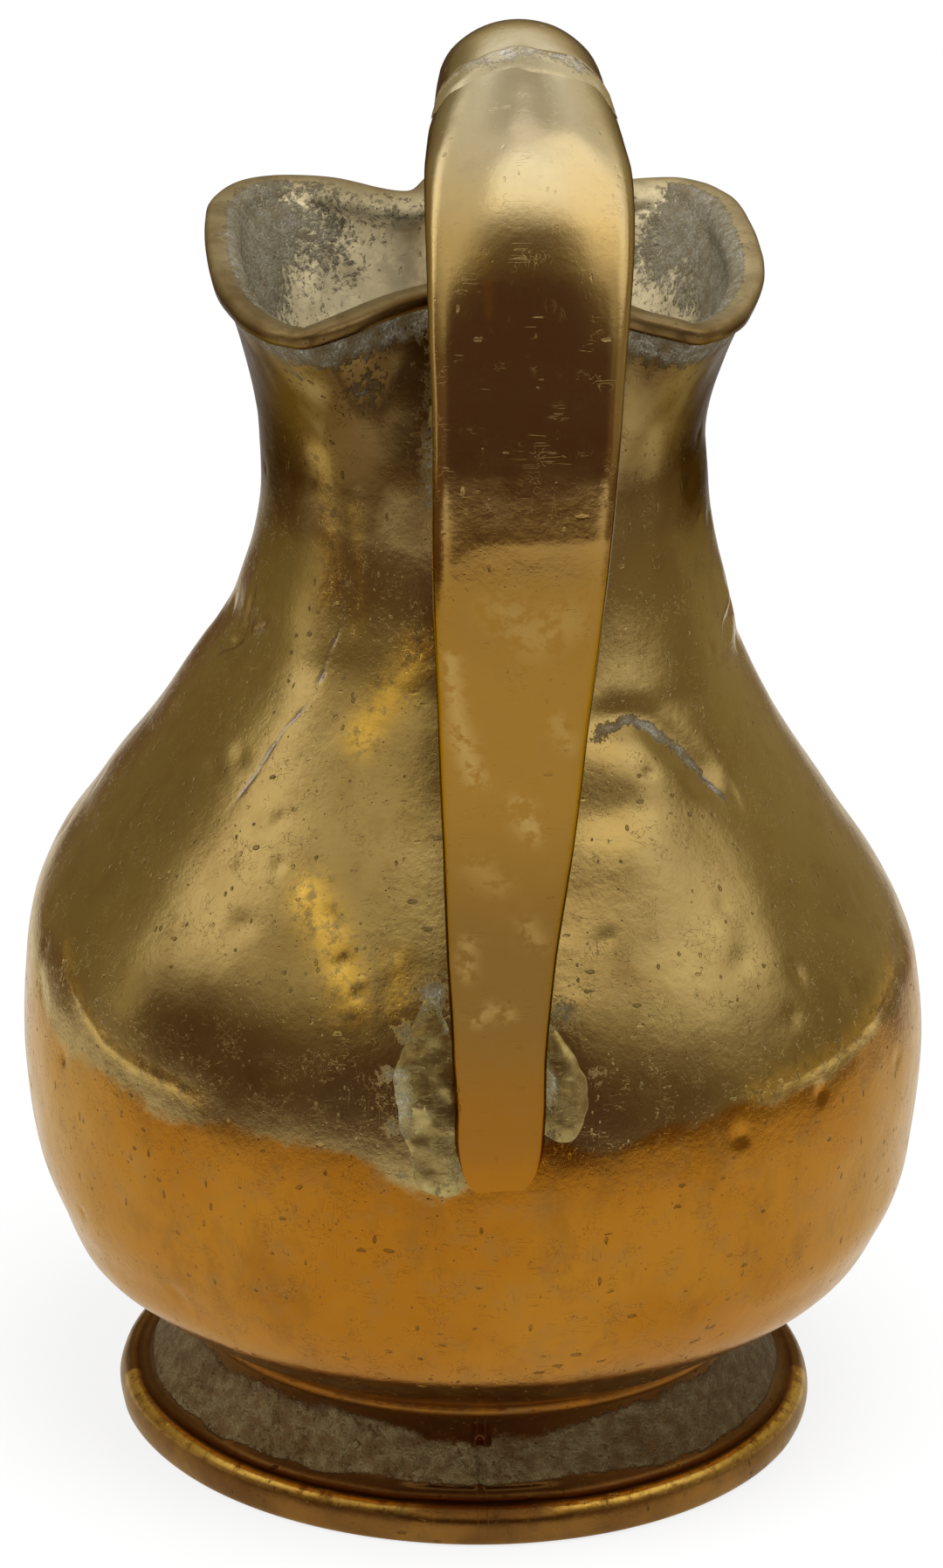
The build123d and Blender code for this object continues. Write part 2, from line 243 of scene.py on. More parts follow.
def dab(field, angle, height, radius, amount, stretch=None, top=False):
    """Adds a soft round form to a field over the wall. stretch gives a direction and how much longer the form is
    that way. With top the field keeps the larger value instead of adding."""
    middle = spot(angle, height)
    reach = 2.8 * radius * (stretch[1] if stretch else 1)
    rows = np.where(abs(rise[:, 0] - height) < reach + 1.5)[0]
    turned_by = abs((turn_degrees - angle + 180) % 360 - 180)
    cols = np.where(np.radians(turned_by) * max(math.hypot(middle[0], middle[1]), 8) < reach + 1)[0]
    if not len(rows) or not len(cols):
        return
    window = np.ix_(rows, cols)
    d = outside[window] - middle
    if stretch:
        run = np.asarray(stretch[0], float) / np.linalg.norm(stretch[0])
        d = d - (d @ run)[..., None] * run * (1 - 1 / stretch[1])
    form = amount * np.exp(-np.sum(d * d, axis=-1) / radius**2)
    field[window] = np.maximum(field[window], form) if top else field[window] + form


def band(line, wide, start=0.1, end=0.9, wander=0.0):
    """1 along a line on the wall, falling to 0 beside it and towards its ends. wander makes the line uneven."""
    points = outside
    if wander:
        points = outside + wander * uneven(outside, 1.5, 27)[..., None] * np.array([1.0, 0.4, 0.2])
    d, along = off_line(points, line)
    return bell(d, wide) * smooth(0, start, along) * (1 - smooth(end, 1.0, along))


# Creases, cracks, folds and ridges of the outside: angles and heights along each
left_crack = spots(
    (-40, 86.5), (-39.7, 84.0), (-39.5, 81.7), (-41, 78.4), (-42, 75.3), (-45.5, 72.0), (-47.0, 69.0), (-50, 65.2)
)
right_crease = spots(
    (18, 74.0), (23.5, 74.9), (28.5, 75.2), (34.5, 74.5), (39.5, 72.8), (43.5, 70.9), (47.5, 68.5), (51.5, 65.8)
)
crease_floor = spots(
    (20, 73.6), (26, 74.6), (32, 74.7), (37.2, 73.5), (41.2, 71.9), (45, 69.9), (48, 68.0), (50.5, 66.4)
)
left_fold_a = spots((-75, 83.2), (-73, 80.6), (-74, 78.0), (-79, 75.8), (-85, 75.0))
left_fold_b = spots((-61, 80.4), (-66, 78.8), (-72, 77.3), (-79, 75.9))
right_notch = spots((70, 77.2), (76, 78.2), (84, 78.6), (92, 78.0))
low_ridge = spots((-70, 50.4), (-65, 48.0), (-57, 45.6), (-51, 44.7), (-45, 44.3), (-39, 43.7))
right_ridge = spots((70, 48.4), (63, 47.0), (54, 45.9), (47, 45.5), (41, 45.3), (35, 45.0))

# push is how far the worked wall stands out from the even one. First the waviness of the hammered metal
push = 0.24 * uneven(outside, 17.0, 3) + 0.15 * uneven(outside, 9.0, 5) + 0.04 * uneven(outside, 4.2, 8)
push += 0.05 * uneven(outside, 5.0, 14) * smooth(38, 44, rise) * (1 - smooth(46, 54, rise))
push *= smooth(6, 16, rise)
# The far side stays inside the solids' box
push -= 0.3 * smooth(110, 150, off_handle) * bell(rise - BELLY_HEIGHT, 12)

crack = band(left_crack, 0.17, 0.05, 0.95, 0.42) * np.clip(0.55 + 1.5 * uneven(outside, 1.1, 21), 0, 1)
push -= 0.08 * crack
push -= 0.62 * band(right_crease, 1.7, 0.25, 0.75)
# The bulge under the crease, the hollow and the second bulge below it, and three small dents
dab(push, 29, 70.2, 5.8, 1.15)
dab(push, 25, 68.2, 2.4, -0.42, ((1, 0.35, 0), 1.7))
dab(push, 27, 63.8, 5.4, 0.7)
dab(push, 39, 55.3, 1.1, -0.14, ((1, 0.5, 0.4), 1.6))
dab(push, 37.5, 57.4, 1.5, 0.1)
dab(push, 39.5, 59.6, 1.0, -0.07)
folds = np.zeros(rise.shape)
for fold_line, deep, wide in ((left_fold_a, 0.42, 0.75), (left_fold_b, 0.3, 0.65), (right_notch, 0.42, 0.8)):
    push -= deep * band(fold_line, wide, 0.25, 0.8)
    folds = np.maximum(folds, band(fold_line, 0.4, 0.35, 0.8) * (0.6 + 0.4 * uneven(outside, 1.6, 29)))
dab(push, -73, 81.0, 2.4, 0.4)
dab(push, 80, 80.4, 2.2, 0.35)
for ridge, high, wide in ((low_ridge, 0.045, 0.5), (right_ridge, 0.08, 0.65)):
    push += high * band(ridge, wide, 0.15, 0.85) * (1 + 0.6 * uneven(outside, 2.4, 33))

# Small knocks: angle, height, radius, depth. More follow at random on the side that the photo hides
KNOCKS = [
    (-53, 69.8, 1.0, 0.14), (-38, 66.3, 0.7, 0.13), (-44, 62.6, 0.8, 0.12), (-35, 63.2, 0.6, 0.12),
    (-38, 58.3, 1.2, 0.16), (-58, 68.1, 0.9, 0.13), (-39, 48.2, 1.5, 0.13), (-28, 48.0, 1.7, 0.16),
    (-67, 50.8, 0.9, 0.12), (-51, 35.2, 0.9, 0.1), (-37, 32.4, 1.0, 0.1), (0, 36.4, 1.0, 0.1),
    (13, 35.0, 1.2, 0.12), (32, 41.5, 0.8, 0.16), (46, 42.8, 0.7, 0.18), (-46, 23.1, 1.0, 0.12),
    (32, 70.4, 0.5, 0.16), (18, 59.1, 0.7, 0.12), (52, 66.4, 0.9, 0.14), (-24, 60.3, 0.9, 0.16),
    (-21, 57.2, 0.8, 0.16), (-18, 55.0, 0.7, 0.14), (57, 49.5, 1.0, 0.15), (63, 58.0, 1.1, 0.12),
    (71, 55.0, 0.9, 0.12), (48, 53.0, 0.8, 0.15), (44, 50.0, 0.9, 0.14), (-75, 60.0, 0.9, 0.12),
    (-70, 64.0, 0.7, 0.12), (-83, 57.0, 0.8, 0.1),
]
HIDDEN_KNOCKS = 90
draw = np.random.RandomState(7).uniform
for _ in range(HIDDEN_KNOCKS):
    KNOCKS.append((draw(60, 300), draw(16, 108), draw(0.5, 1.2), draw(0.06, 0.15)))
for angle, height, radius, depth in KNOCKS:
    lie = (draw(-1, 1), draw(-1, 1), draw(-1, 1))
    dab(push, (angle + 180) % 360 - 180, height, radius, -depth, (lie, draw(1.0, 1.9)))

# The seam between belly and neck shows only in places, as a faint groove on the far side
seam_middle = (SEAM_LOW + SEAM_HIGH) / 2 + 0.8 * uneven(outside * [1, 1, 0], 12.0, 41)
seam = bell(rise - seam_middle, 0.5) * smooth(0.1, 0.6, uneven(outside * [1, 1, 0.2], 8.0, 43))
seam = seam * smooth(100, 125, off_handle)
push -= 0.16 * seam

# Bright gold flecks that paint golden reflections and highlights, on lines and along the ridges, with a small
# ripple in the wall: line, width, amount
gold = np.zeros(rise.shape)
for glint_line, wide, amount in (
    (spots((-27, 73.8), (-24.5, 76.4), (-21.5, 78.6), (-18, 81.4)), 1.7, 1.0),
    (spots((-28, 61.6), (-25.5, 60.2), (-23, 58.6), (-20.5, 56.6), (-18.5, 54.2)), 1.9, 1.0),
    (spots((-13, 57.6), (-12, 54.4)), 1.4, 0.7),
    (spots((-47, 97), (-45, 90), (-43.5, 84)), 1.5, 0.34),
    (spots((-37, 93), (-36, 87), (-35, 82)), 0.9, 0.26),
    (right_ridge, 1.3, 0.55),
    (low_ridge, 0.9, 0.45),
):
    gold = np.maximum(gold, amount * bell(off_line(outside, glint_line)[0], wide))
push += 0.09 * gold * uneven(outside, 1.7, 37)

shaped = outside + push[..., None] * normal
wall_normal = normals_of(shaped)


def on_wall(angle, height, lift):
    """Points on the worked wall at angles in degrees and heights below the waist, lifted off it."""
    col = (np.asarray(angle, float) + 180) / 360 * TURNS
    row = np.interp(height, below_z, np.arange(rows_below))
    c, r = np.floor(col).astype(int), np.floor(row).astype(int)
    fc, fr = (col - c)[..., None], (row - r)[..., None]
    c0, c1 = c % TURNS, (c + 1) % TURNS
    r1 = np.minimum(r + 1, rows_below)
    lower = shaped[r, c0] * (1 - fc) + shaped[r, c1] * fc
    upper = shaped[r1, c0] * (1 - fc) + shaped[r1, c1] * fc
    return lower * (1 - fr) + upper * fr + np.asarray(lift)[..., None] * wall_normal[r, c0]


# ---------------------------------------------------------------- the lip and the inside
# Steps over the lip from the outer edge of the rim: outwards, up, then its marks film (partly a painted dark
# reflection), deposit and inner
LIP = [
    (0.10, -1.5, 0.80, 0.30, 0.0), (0.22, -1.05, 0.72, 0.10, 0.0), (0.30, -0.65, 0.58, 0.05, 0.1),
    (0.27, -0.3, 0.55, 0.0, 0.2), (0.10, -0.05, 0.62, 0.06, 0.3), (-0.25, 0.06, 0.70, 0.12, 0.38),
    (-0.7, 0.08, 0.76, 0.18, 0.44), (-1.2, 0.04, 0.78, 0.22, 0.5), (-1.75, -0.08, 0.76, 0.24, 0.62),
    (-2.3, -0.34, 0.68, 0.28, 0.76), (-2.75, -0.85, 0.58, 0.36, 0.9), (-2.98, -1.6, 0.48, 0.45, 1.0),
]
# How far the whole lip is set in, the rows of the wall that it takes the place of, and how far under the rim the
# inside starts
LIP_INSET, LIP_ROWS, INSIDE_START = 0.3, 6, 2.6
outward = around(1.0, turn, 0.0)
# Square to the rim, not to the axis, so that the lip keeps its width round the lobes
rim_line = shaped[-1]
rim_run = np.roll(rim_line, -1, axis=0) - np.roll(rim_line, 1, axis=0)
square = np.stack([rim_run[:, 1], -rim_run[:, 0], np.zeros(TURNS)], axis=-1)
square /= np.linalg.norm(square, axis=-1, keepdims=True)
for _ in range(6):
    square = square + np.roll(square, 1, axis=0) + np.roll(square, -1, axis=0)
    square /= np.linalg.norm(square, axis=-1, keepdims=True)
lip = np.array([rim_line + square * (out - LIP_INSET) + np.array([0, 0, up]) for out, up, *_ in LIP])
lip += 0.05 * uneven(lip, 3.0, 51)[..., None] * np.array([0, 0, 1.0])

# The inside of the wall lies square behind its outside
low, high = seam_rows
neck_end = len(shaped) - LIP_ROWS
inside = outside - WALL * normal
neck_rows = [k for k in range(neck_end, high, -2) if np.min(rise[-1] - rise[k]) > INSIDE_START]
neck_inner = np.concatenate([inside[neck_rows], inside[high][None]])
rough = 0.16 * uneven(neck_inner, 5.0, 61) + 0.1 * uneven(neck_inner, 2.0, 63)
rough[-3:] = 0
neck_inner -= rough[..., None] * outward
floor_rows = [around(r, turn, FLOOR_HEIGHT + WALL) for r in (10.0, 5.0, 0.4)]
belly_inner = np.concatenate([inside[list(range(low - 3, 8, -3))], np.array(floor_rows)])


# ---------------------------------------------------------------- meshes
def new_object(name, data):
    obj = bpy.data.objects.new(name, data)
    bpy.context.scene.collection.objects.link(obj)
    return obj


def new_mesh(name, points, faces):
    mesh = bpy.data.meshes.new(name)
    mesh.from_pydata([tuple(p) for p in np.asarray(points).reshape(-1, 3) * MM], [], faces)
    return mesh


def make_object(name, points, faces, body="root"):
    mesh = new_mesh(name, points, faces)
    mesh.validate()
    mesh.polygons.foreach_set("use_smooth", [True] * len(mesh.polygons))
    mesh.update()
    obj = new_object(name, mesh)
    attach(obj, body)
    return obj


def end_faces(rows, width):
    """The faces that close a tube of rows at its first and last row."""
    return [list(range(width))[::-1], [(rows - 1) * width + k for k in range(width)]]


def quads_over(rows, width, closed_rows=0, closed_columns=0):
    """Quads over a grid of vertices. It may close from the last row or column to the first."""
    grid = np.pad(np.arange(rows * width).reshape(rows, width), ((0, closed_rows), (0, closed_columns)), mode="wrap")
    corners = (grid[:-1, :-1], grid[:-1, 1:], grid[1:, 1:], grid[1:, :-1])
    return np.stack(corners, axis=-1).reshape(-1, 4).tolist()


def ring_faces(rows, closed_rows=0, capped=False, width=TURNS):
    """Quads over rows that each close to a ring."""
    return quads_over(rows, width, closed_rows, 1) + (end_faces(rows, width) if capped else [])


# Marks that the materials read, with their plain values: deposit is dirt, gold is bare bright metal and painted
# highlights and reflections, crack is a crack or slit, inner is the inside of the jug, above is the height in mm
# above the orange zone, a painted reflection of a warm table, film_and_shade is the dark film with painted shade and
# painted dark reflections, and patch is a pale blot on the strap
MARKS = {"deposit": 0.0, "gold": 0.0, "crack": 0.0, "inner": 0.0, "above": 20.0, "film_and_shade": 0.0, "patch": 0.0}


def mark_all(obj, shape, values):
    """Writes every mark as one number per vertex."""
    for mark, plain in MARKS.items():
        layer = obj.data.attributes.new(mark, "FLOAT", "POINT")
        grid = values[mark] if mark in values else np.full(shape, plain)
        layer.data.foreach_set("value", np.asarray(grid, np.float32).reshape(-1))


# Dirt in the crease, the folds and the seam, under the lip and beside the strap
crease_dirt = np.maximum(band(crease_floor, 0.8, 0.05, 0.6, 0.4), band(crease_floor, 0.34, 0.3, 0.97, 0.4))
crease_crack = band(crease_floor, 0.26, 0.3, 0.97, 0.5) * np.clip(0.6 + 1.3 * uneven(outside, 1.2, 25), 0, 1)
crack = np.maximum(crack, 0.9 * crease_crack)
below_lip = rim_height - rise
lip_band = smooth(0.9, 1.6, below_lip) * (1 - smooth(2.6, 6.0, below_lip))
near_side = 1 - smooth(48, 85, off_handle)
deposit = np.zeros(rise.shape)
for dirt in (
    0.9 * crease_dirt * (0.75 + 0.5 * uneven(outside, 1.3, 23)),
    0.7 * folds,
    0.4 * seam,
    0.74 * lip_band * (0.35 + 0.65 * near_side),
    0.68 * bell(turn_degrees + 13, 8.0) * smooth(84, 98, rise),
    0.55 * bell(turn_degrees - 16, 8.0) * smooth(100, 107, rise),
):
    deposit = np.maximum(deposit, dirt)
for angle, height, radius, amount in (
    (-31, 104.5, 3.6, 0.5), (-46, 106, 3.0, 0.42), (-7.5, 55.5, 1.6, 0.8), (-11.0, 52.5, 1.5, 0.6),
    (-13.6, 49.0, 1.2, 0.6), (-12.8, 44.5, 1.2, 0.6), (-11.5, 40.6, 1.0, 0.5), (10.5, 54.0, 2.0, 0.55),
    (13.5, 49.0, 1.6, 0.4), (-42, 83.5, 1.2, 0.3),
):
    dab(deposit, angle, height, radius, amount, top=True)

# Where the orange of the lower belly, a painted reflection of a warm table, ends: angle, height
TABLE_REFLECTION_TOP = [
    (-180, 44), (-120, 46), (-95, 48.5), (-83, 46.5), (-71, 42.9), (-62, 42.0), (-55, 42.0), (-46, 41.7),
    (-40, 41.2), (-34, 42.2), (-24, 42.1), (-17, 41.8), (-13, 40.0), (-9, 38.8), (0, 41.0), (8, 43.5), (12, 42.4),
    (17, 42.8), (21, 43.6), (32, 44.2), (46, 43.6), (59, 45.0), (68, 45.3), (80, 48), (95, 49.5), (130, 46),
    (180, 44),
]
above_table_reflection = rise - read(TABLE_REFLECTION_TOP, 1, turn_degrees)
above_table_reflection = above_table_reflection + 0.7 * uneven(outside, 3.1, 91) + 0.35 * uneven(outside, 1.3, 93)

# The dark film with painted shade: on the neck in streaks that run up and down, partly a painted dark
# reflection, and in patches on the belly, most of them a painted dark reflection in a band over the orange zone
FILM_AND_SHADE_HEIGHTS = [80, 84, 88, 92, 96, 100, 103, 108]
FILM_AND_SHADE_AMOUNTS = [0.0, 0.04, 0.14, 0.46, 0.70, 0.72, 0.68, 0.62]
streak = uneven(outside * [1, 1, 0.12], 5.5, 95) * 0.5 + uneven(outside * [1, 1, 0.16], 2.2, 97) * 0.28
film_and_shade = np.interp(rise + 2.5 * streak, FILM_AND_SHADE_HEIGHTS, FILM_AND_SHADE_AMOUNTS) * np.clip(1.0 + 1.15 * streak, 0.1, 1.5)
# Painted dark reflection: the neck darker on both sides
beside_strap = smooth(40, 56, off_handle) * (1 - smooth(110, 125, off_handle))
film_and_shade += 0.42 * smooth(88, 93, rise) * beside_strap * (1 - 0.5 * smooth(104, 107, rise))
for angle, height, radius, amount in (
    (-47, 52, 4.5, 0.42), (-38, 50.5, 4.0, 0.3), (19, 57, 3.4, 0.42), (-31, 58, 3.5, 0.2), (-19, 63, 3.5, 0.14),
    (38, 50.5, 3.0, 0.25), (27, 47.5, 3.0, 0.3), (-31, 46.5, 4.6, 0.55), (-20, 45.5, 4.0, 0.5),
    (-42, 47.0, 4.0, 0.4), (16, 46.5, 2.6, 0.4), (66, 56, 5.0, 0.2),
):
    dab(film_and_shade, angle, height, radius, amount)
film_and_shade *= np.clip(1 + 0.35 * uneven(outside, 2.5, 98), 0.4, 1.5)
# Painted shadow under the rolled lip
film_and_shade = np.maximum(film_and_shade, 0.85 * smooth(1.7, 0.9, below_lip))

wall_marks = {"deposit": deposit, "gold": gold, "crack": np.clip(crack, 0, 1), "above": above_table_reflection, "film_and_shade": film_and_shade}


def shell(name, parts, capped=False, closed_rows=0):
    """One piece of the wall. Its parts are rows of points, their marks and their normals. Rows without normals keep
    the mesh's own, so that the pieces of the wall meet with no visible edge."""
    rows = [np.asarray(part[0]).reshape(-1, TURNS, 3) for part in parts]
    points = np.concatenate(rows)
    obj = make_object(name, points, ring_faces(len(points), closed_rows, capped))
    values = {}
    for mark, plain in MARKS.items():
        grids = [part[1].get(mark, np.full(r.shape[:2], plain)) for r, part in zip(rows, parts)]
        values[mark] = np.concatenate(grids)
    mark_all(obj, points.shape[:2], values)
    given = np.concatenate([np.zeros(r.shape) if part[2] is None else part[2] for r, part in zip(rows, parts)])
    obj.data.normals_split_custom_set_from_vertices(given.reshape(-1, 3).tolist())
    return obj


def cut(first, end):
    """The wall's own rows from the first up to the end, with their marks and normals."""
    rows = slice(first, end)
    return shaped[rows], {mark: grid[rows] for mark, grid in wall_marks.items()}, wall_normal[rows]


# The first row drawn in, to close the underside
underside = shaped[:1] * [0.03, 0.03, 1]
seam_inner = inside[low][None]
inner_shape = belly_inner.shape[:2]
belly = shell(
    "belly_wall",
    [
        (underside, {}, None),
        cut(0, low + 1),
        (seam_inner, {}, None),
        (belly_inner, {"inner": np.ones(inner_shape), "deposit": np.full(inner_shape, 0.35)}, None),
    ],
    capped=True,
)
seam_ring = shell(
    "shoulder_seam", [cut(low, high + 1), (neck_inner[-1:], {}, None), (seam_inner, {}, None)], closed_rows=1
)
# Inside the mouth: grey dirt in the lobes, cleaner metal in the throat and at the far wall
left_lobe = smooth(-34, -50, turn_degrees) * (1 - smooth(-138, -163, turn_degrees))
right_lobe = smooth(28, 42, turn_degrees) * (1 - smooth(135, 155, turn_degrees))
outer_part = smooth(0.2, 0.8, (neck_inner[..., 2] - 95) / 14.5)
inner_deposit = 0.10 + (0.66 * left_lobe + 0.74 * right_lobe) * outer_part
inner_deposit = inner_deposit + 0.22 * uneven(neck_inner, 6.0, 99) + 0.1 * uneven(neck_inner, 2.2, 96)
inner_film = 0.5 * np.maximum(left_lobe, right_lobe) + 0.16 * uneven(neck_inner, 4.0, 94)
lip_film_and_shade, lip_deposit, lip_inner = (np.tile([[row[k]] for row in LIP], (1, TURNS)) for k in (2, 3, 4))
# The lip's dark film, partly a painted dark reflection: darker on the near side, lighter towards +X
lip_film_and_shade = lip_film_and_shade + 0.2 * uneven(lip, 3.0, 53) + 0.25 * (1 - smooth(60, 80, off_handle))
lip_film_and_shade = np.clip(lip_film_and_shade * (1 - 0.4 * smooth(30, 60, turn_degrees)), 0, 1)
lip_deposit = lip_deposit + 0.2 * uneven(lip, 2.6, 55)
lip_deposit[8:] = np.maximum(lip_deposit[8:], 0.9 * inner_deposit[:1])
neck_points, neck_marks, neck_normals = cut(high, neck_end)
neck_normals = neck_normals.copy()
neck_normals[-2:] = 0
neck = shell(
    "neck_wall",
    [
        (neck_points, neck_marks, neck_normals),
        (lip, {"deposit": lip_deposit, "film_and_shade": lip_film_and_shade, "inner": lip_inner}, None),
        (
            neck_inner,
            {
                "inner": np.ones(neck_inner.shape[:2]),
                "deposit": np.clip(inner_deposit, 0, 1),
                "film_and_shade": np.clip(inner_film, 0, 1),
            },
            None,
        ),
    ],
    closed_rows=1,
)
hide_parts("belly_bowl")
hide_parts("shoulder_braze")
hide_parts("neck_and_mouth")

# ---------------------------------------------------------------- the foot
# Outside of the foot's section from the collar down to the table, then the inside going up: radius, height
FOOT_OUT = np.array([
    (25.3, 11.2), (25.6, 10.2), (26.0, 9.2), (26.5, 8.1), (27.1, 7.1), (27.8, 6.2), (28.4, 5.5), (28.8, 4.9),
    (29.05, 4.35), (29.3, 3.85), (29.7, 3.55), (30.2, 3.52), (30.7, 3.68), (31.2, 3.62), (31.65, 3.25),
    (31.95, 2.6), (32.08, 1.9), (32.02, 1.2), (31.85, 0.6), (31.5, 0.22), (31.0, 0.03), (30.3, 0.0), (28.4, 0.0),
])
FOOT_IN = [(27.6, 0.25), (26.6, 1.2), (25.4, 2.6), (24.3, 4.4), (23.7, 6.6), (23.45, 9.0), (23.4, 11.0)]
FOOT_STEPS = 96
foot_along = lengths_along(FOOT_OUT)
at = np.linspace(0, foot_along[-1], FOOT_STEPS)
foot_profile = np.stack([through(foot_along, FOOT_OUT[:, k], at) for k in (0, 1)], axis=-1)
foot_profile[:, 1] = np.maximum(foot_profile[:, 1], 0)
foot_profile = np.concatenate([foot_profile, np.array(FOOT_IN)])
# Half the angle that the braze in the strip's butt takes and where the slit in it lies, in degrees
BUTT, SLIT = 0.76, -0.3


def foot_piece(name, angles):
    """A length of the foot strip between two angles in degrees, with its marks."""
    a = np.radians(angles)
    r, z = foot_profile[:, None, 0], np.repeat(foot_profile[:, None, 1], len(a), axis=1)
    points = around(r, a, z)
    face = np.repeat((np.arange(len(r)) < FOOT_STEPS)[:, None], len(a), axis=1)
    turned = abs((angles + 180) % 360 - 180)
    flare_foot = 4.6 - 0.75 * smooth(14, 40, turned) + 0.3 * uneven(points, 3.5, 74)
    flare_top = smooth(7.8, 9.1, z + 0.5 * uneven(points, 3.0, 72) - 0.9 * smooth(6, 32, turned))
    flare = smooth(0, 0.6, z - flare_foot) * (1 - flare_top) * face
    near_butt = 1 - smooth(8, 17, turned)
    bump = 0.10 * uneven(points, 9.0, 71) + 0.05 * uneven(points, 4.0, 73) * (1 + flare)
    bump = bump + 0.06 * uneven(points, 1.3, 75) * flare
    # The channel over the bead is filled near the butt
    bump = bump - 0.1 - 0.28 * near_butt * smooth(2.6, 3.4, z) * (1 - smooth(4.2, 4.8, z))
    bump = bump * smooth(0.0, 0.8, z)
    slit = bell((angles - SLIT + 180) % 360 - 180, 0.7) * smooth(4.2, 4.8, z) * (1 - smooth(8.0, 8.4, z))
    points = points + (bump - 0.4 * slit * face)[..., None] * around(1.0, a, 0.0)
    rows, cols = z.shape
    first_end = [j * cols for j in range(rows)]
    last_end = [k + cols - 1 for k in first_end]
    quads = [face[::-1] for face in quads_over(rows, cols, closed_rows=1)]
    obj = make_object(name, points, quads + [first_end, last_end[::-1]])
    # Painted shade in the hollow over the bead and under the belly, the foot darker towards the butt, and a painted
    # highlight along the bead's top
    hollow = (1 - smooth(4.6, 5.2, z)) * smooth(3.3, 3.5, z) * (r < 30.6)
    bead_top_highlight = bell(r - 31.2, 0.55) * (z > 2.8) * (1 - near_butt) * (turned < 85)
    dark = 0.68 + 0.3 * hollow + 0.2 * (1 - smooth(12, 40, turned)) + 0.25 * smooth(7.8, 8.6, z)
    butt_patch = (1 - smooth(1.7, 2.1, turned)) * smooth(7.5, 7.8, z) * (1 - smooth(9.2, 9.5, z))
    values = {
        "deposit": (0.74 + 0.10 * uneven(points, 2.2, 76)) * flare * (1 - butt_patch),
        "gold": np.broadcast_to(0.85 * bead_top_highlight, z.shape),
        "crack": np.clip(slit + 0.6 * butt_patch, 0, 1) * face,
        "film_and_shade": np.clip(dark - 0.7 * bead_top_highlight + 0.3 * uneven(points, 6.0, 77), 0, 1),
    }
    mark_all(obj, z.shape, values)
    return obj


butt_side = np.linspace(BUTT, 6, 24)
foot_angles = [butt_side, np.linspace(6, 354, 560)[1:-1], 360 - butt_side[::-1]]
foot_ring = foot_piece("foot_strip", np.concatenate(foot_angles))
foot_butt = foot_piece("foot_butt", np.linspace(-BUTT, BUTT, 13))
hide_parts("foot_ring")
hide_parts("foot_butt_braze")

# ---------------------------------------------------------------- the handle
# The strap's outer face from its foot to the crest's seam: reach from the axis, height, half width, crown radius
STRAP = [
    (40.3, 36.2, 2.2, 41), (40.95, 38.4, 3.1, 41), (41.12, 40.2, 3.62, 42), (41.36, 42.0, 3.85, 45),
    (41.62, 44.0, 3.9, 52), (41.98, 46.6, 3.9, 60), (42.9, 53.0, 4.1, 60), (44.2, 61.0, 4.65, 60),
    (45.9, 68.5, 5.2, 60), (48.0, 76.0, 5.75, 55), (50.0, 83.5, 6.2, 48), (51.9, 90.5, 6.65, 42),
    (53.0, 97.0, 7.08, 40), (53.38, 103.0, 7.42, 40), (53.62, 107.8, 7.6, 40), (53.6, 111.0, 7.7, 38),
    (53.25, 115.0, 7.85, 34), (52.6, 120.5, 8.15, 28), (51.2, 126.0, 8.42, 22), (49.0, 131.0, 8.52, 17),
    (45.8, 135.0, 8.4, 13), (42.3, 137.5, 8.0, 10), (40.3, 138.75, 7.65, 8.8), (38.6, 139.6, 7.3, 8.2),
]
CROOK = [
    (38.5, 139.65, 7.28, 8.15), (35.8, 140.55, 7.22, 7.5), (32.8, 140.95, 7.15, 7.3), (29.4, 140.4, 6.9, 7.6),
    (26.0, 138.4, 6.6, 8.5), (23.0, 135.2, 6.35, 10), (20.5, 131.0, 6.2, 12), (18.7, 126.0, 6.15, 14),
    (17.8, 121.0, 6.15, 16), (17.45, 116.0, 6.1, 16), (17.45, 111.5, 6.0, 16), (17.6, 107.5, 5.8, 16),
    (17.9, 104.6, 5.4, 16), (18.1, 103.8, 4.9, 16),
]
# The braze over the crest's seam, a thin skin
SEAM_SKIN = [
    (40.3, 138.75, 7.65, 8.8), (39.5, 139.17, 7.45, 8.45), (38.6, 139.6, 7.3, 8.2), (37.2, 140.15, 7.25, 7.8),
    (36.2, 140.45, 7.23, 7.6),
]
# Height and shift towards +X of the whole handle
STRAP_LEAN = [
    (39, 0.0), (47, 0.03), (52, -0.25), (62, -0.38), (73, -0.25), (84, -0.3), (96, -0.25), (106, -0.04),
    (112, 0.02), (119, 0.0), (126, 0.12), (136, 0.12), (141, -0.02),
]
# Points across one face of the strap, its thickness, and the width of the rounding under its edges
ACROSS, THICK, UNDER_EDGE = 31, 2.6, 0.9
STRAP_ROWS, CROOK_ROWS, SKIN_ROWS = 260, 170, 60

# One common line gives the directions of all three pieces, so that they meet square
whole = np.array(STRAP[:-1] + CROOK, float)[:, :2]
whole_along = lengths_along(whole)
at = np.linspace(0, whole_along[-1], HANDLE_SAMPLES)
handle_line = np.stack([through(whole_along, whole[:, k], at) for k in (0, 1)], axis=-1)
handle_run = np.gradient(handle_line, axis=0)
handle_run /= np.linalg.norm(handle_run, axis=1, keepdims=True)


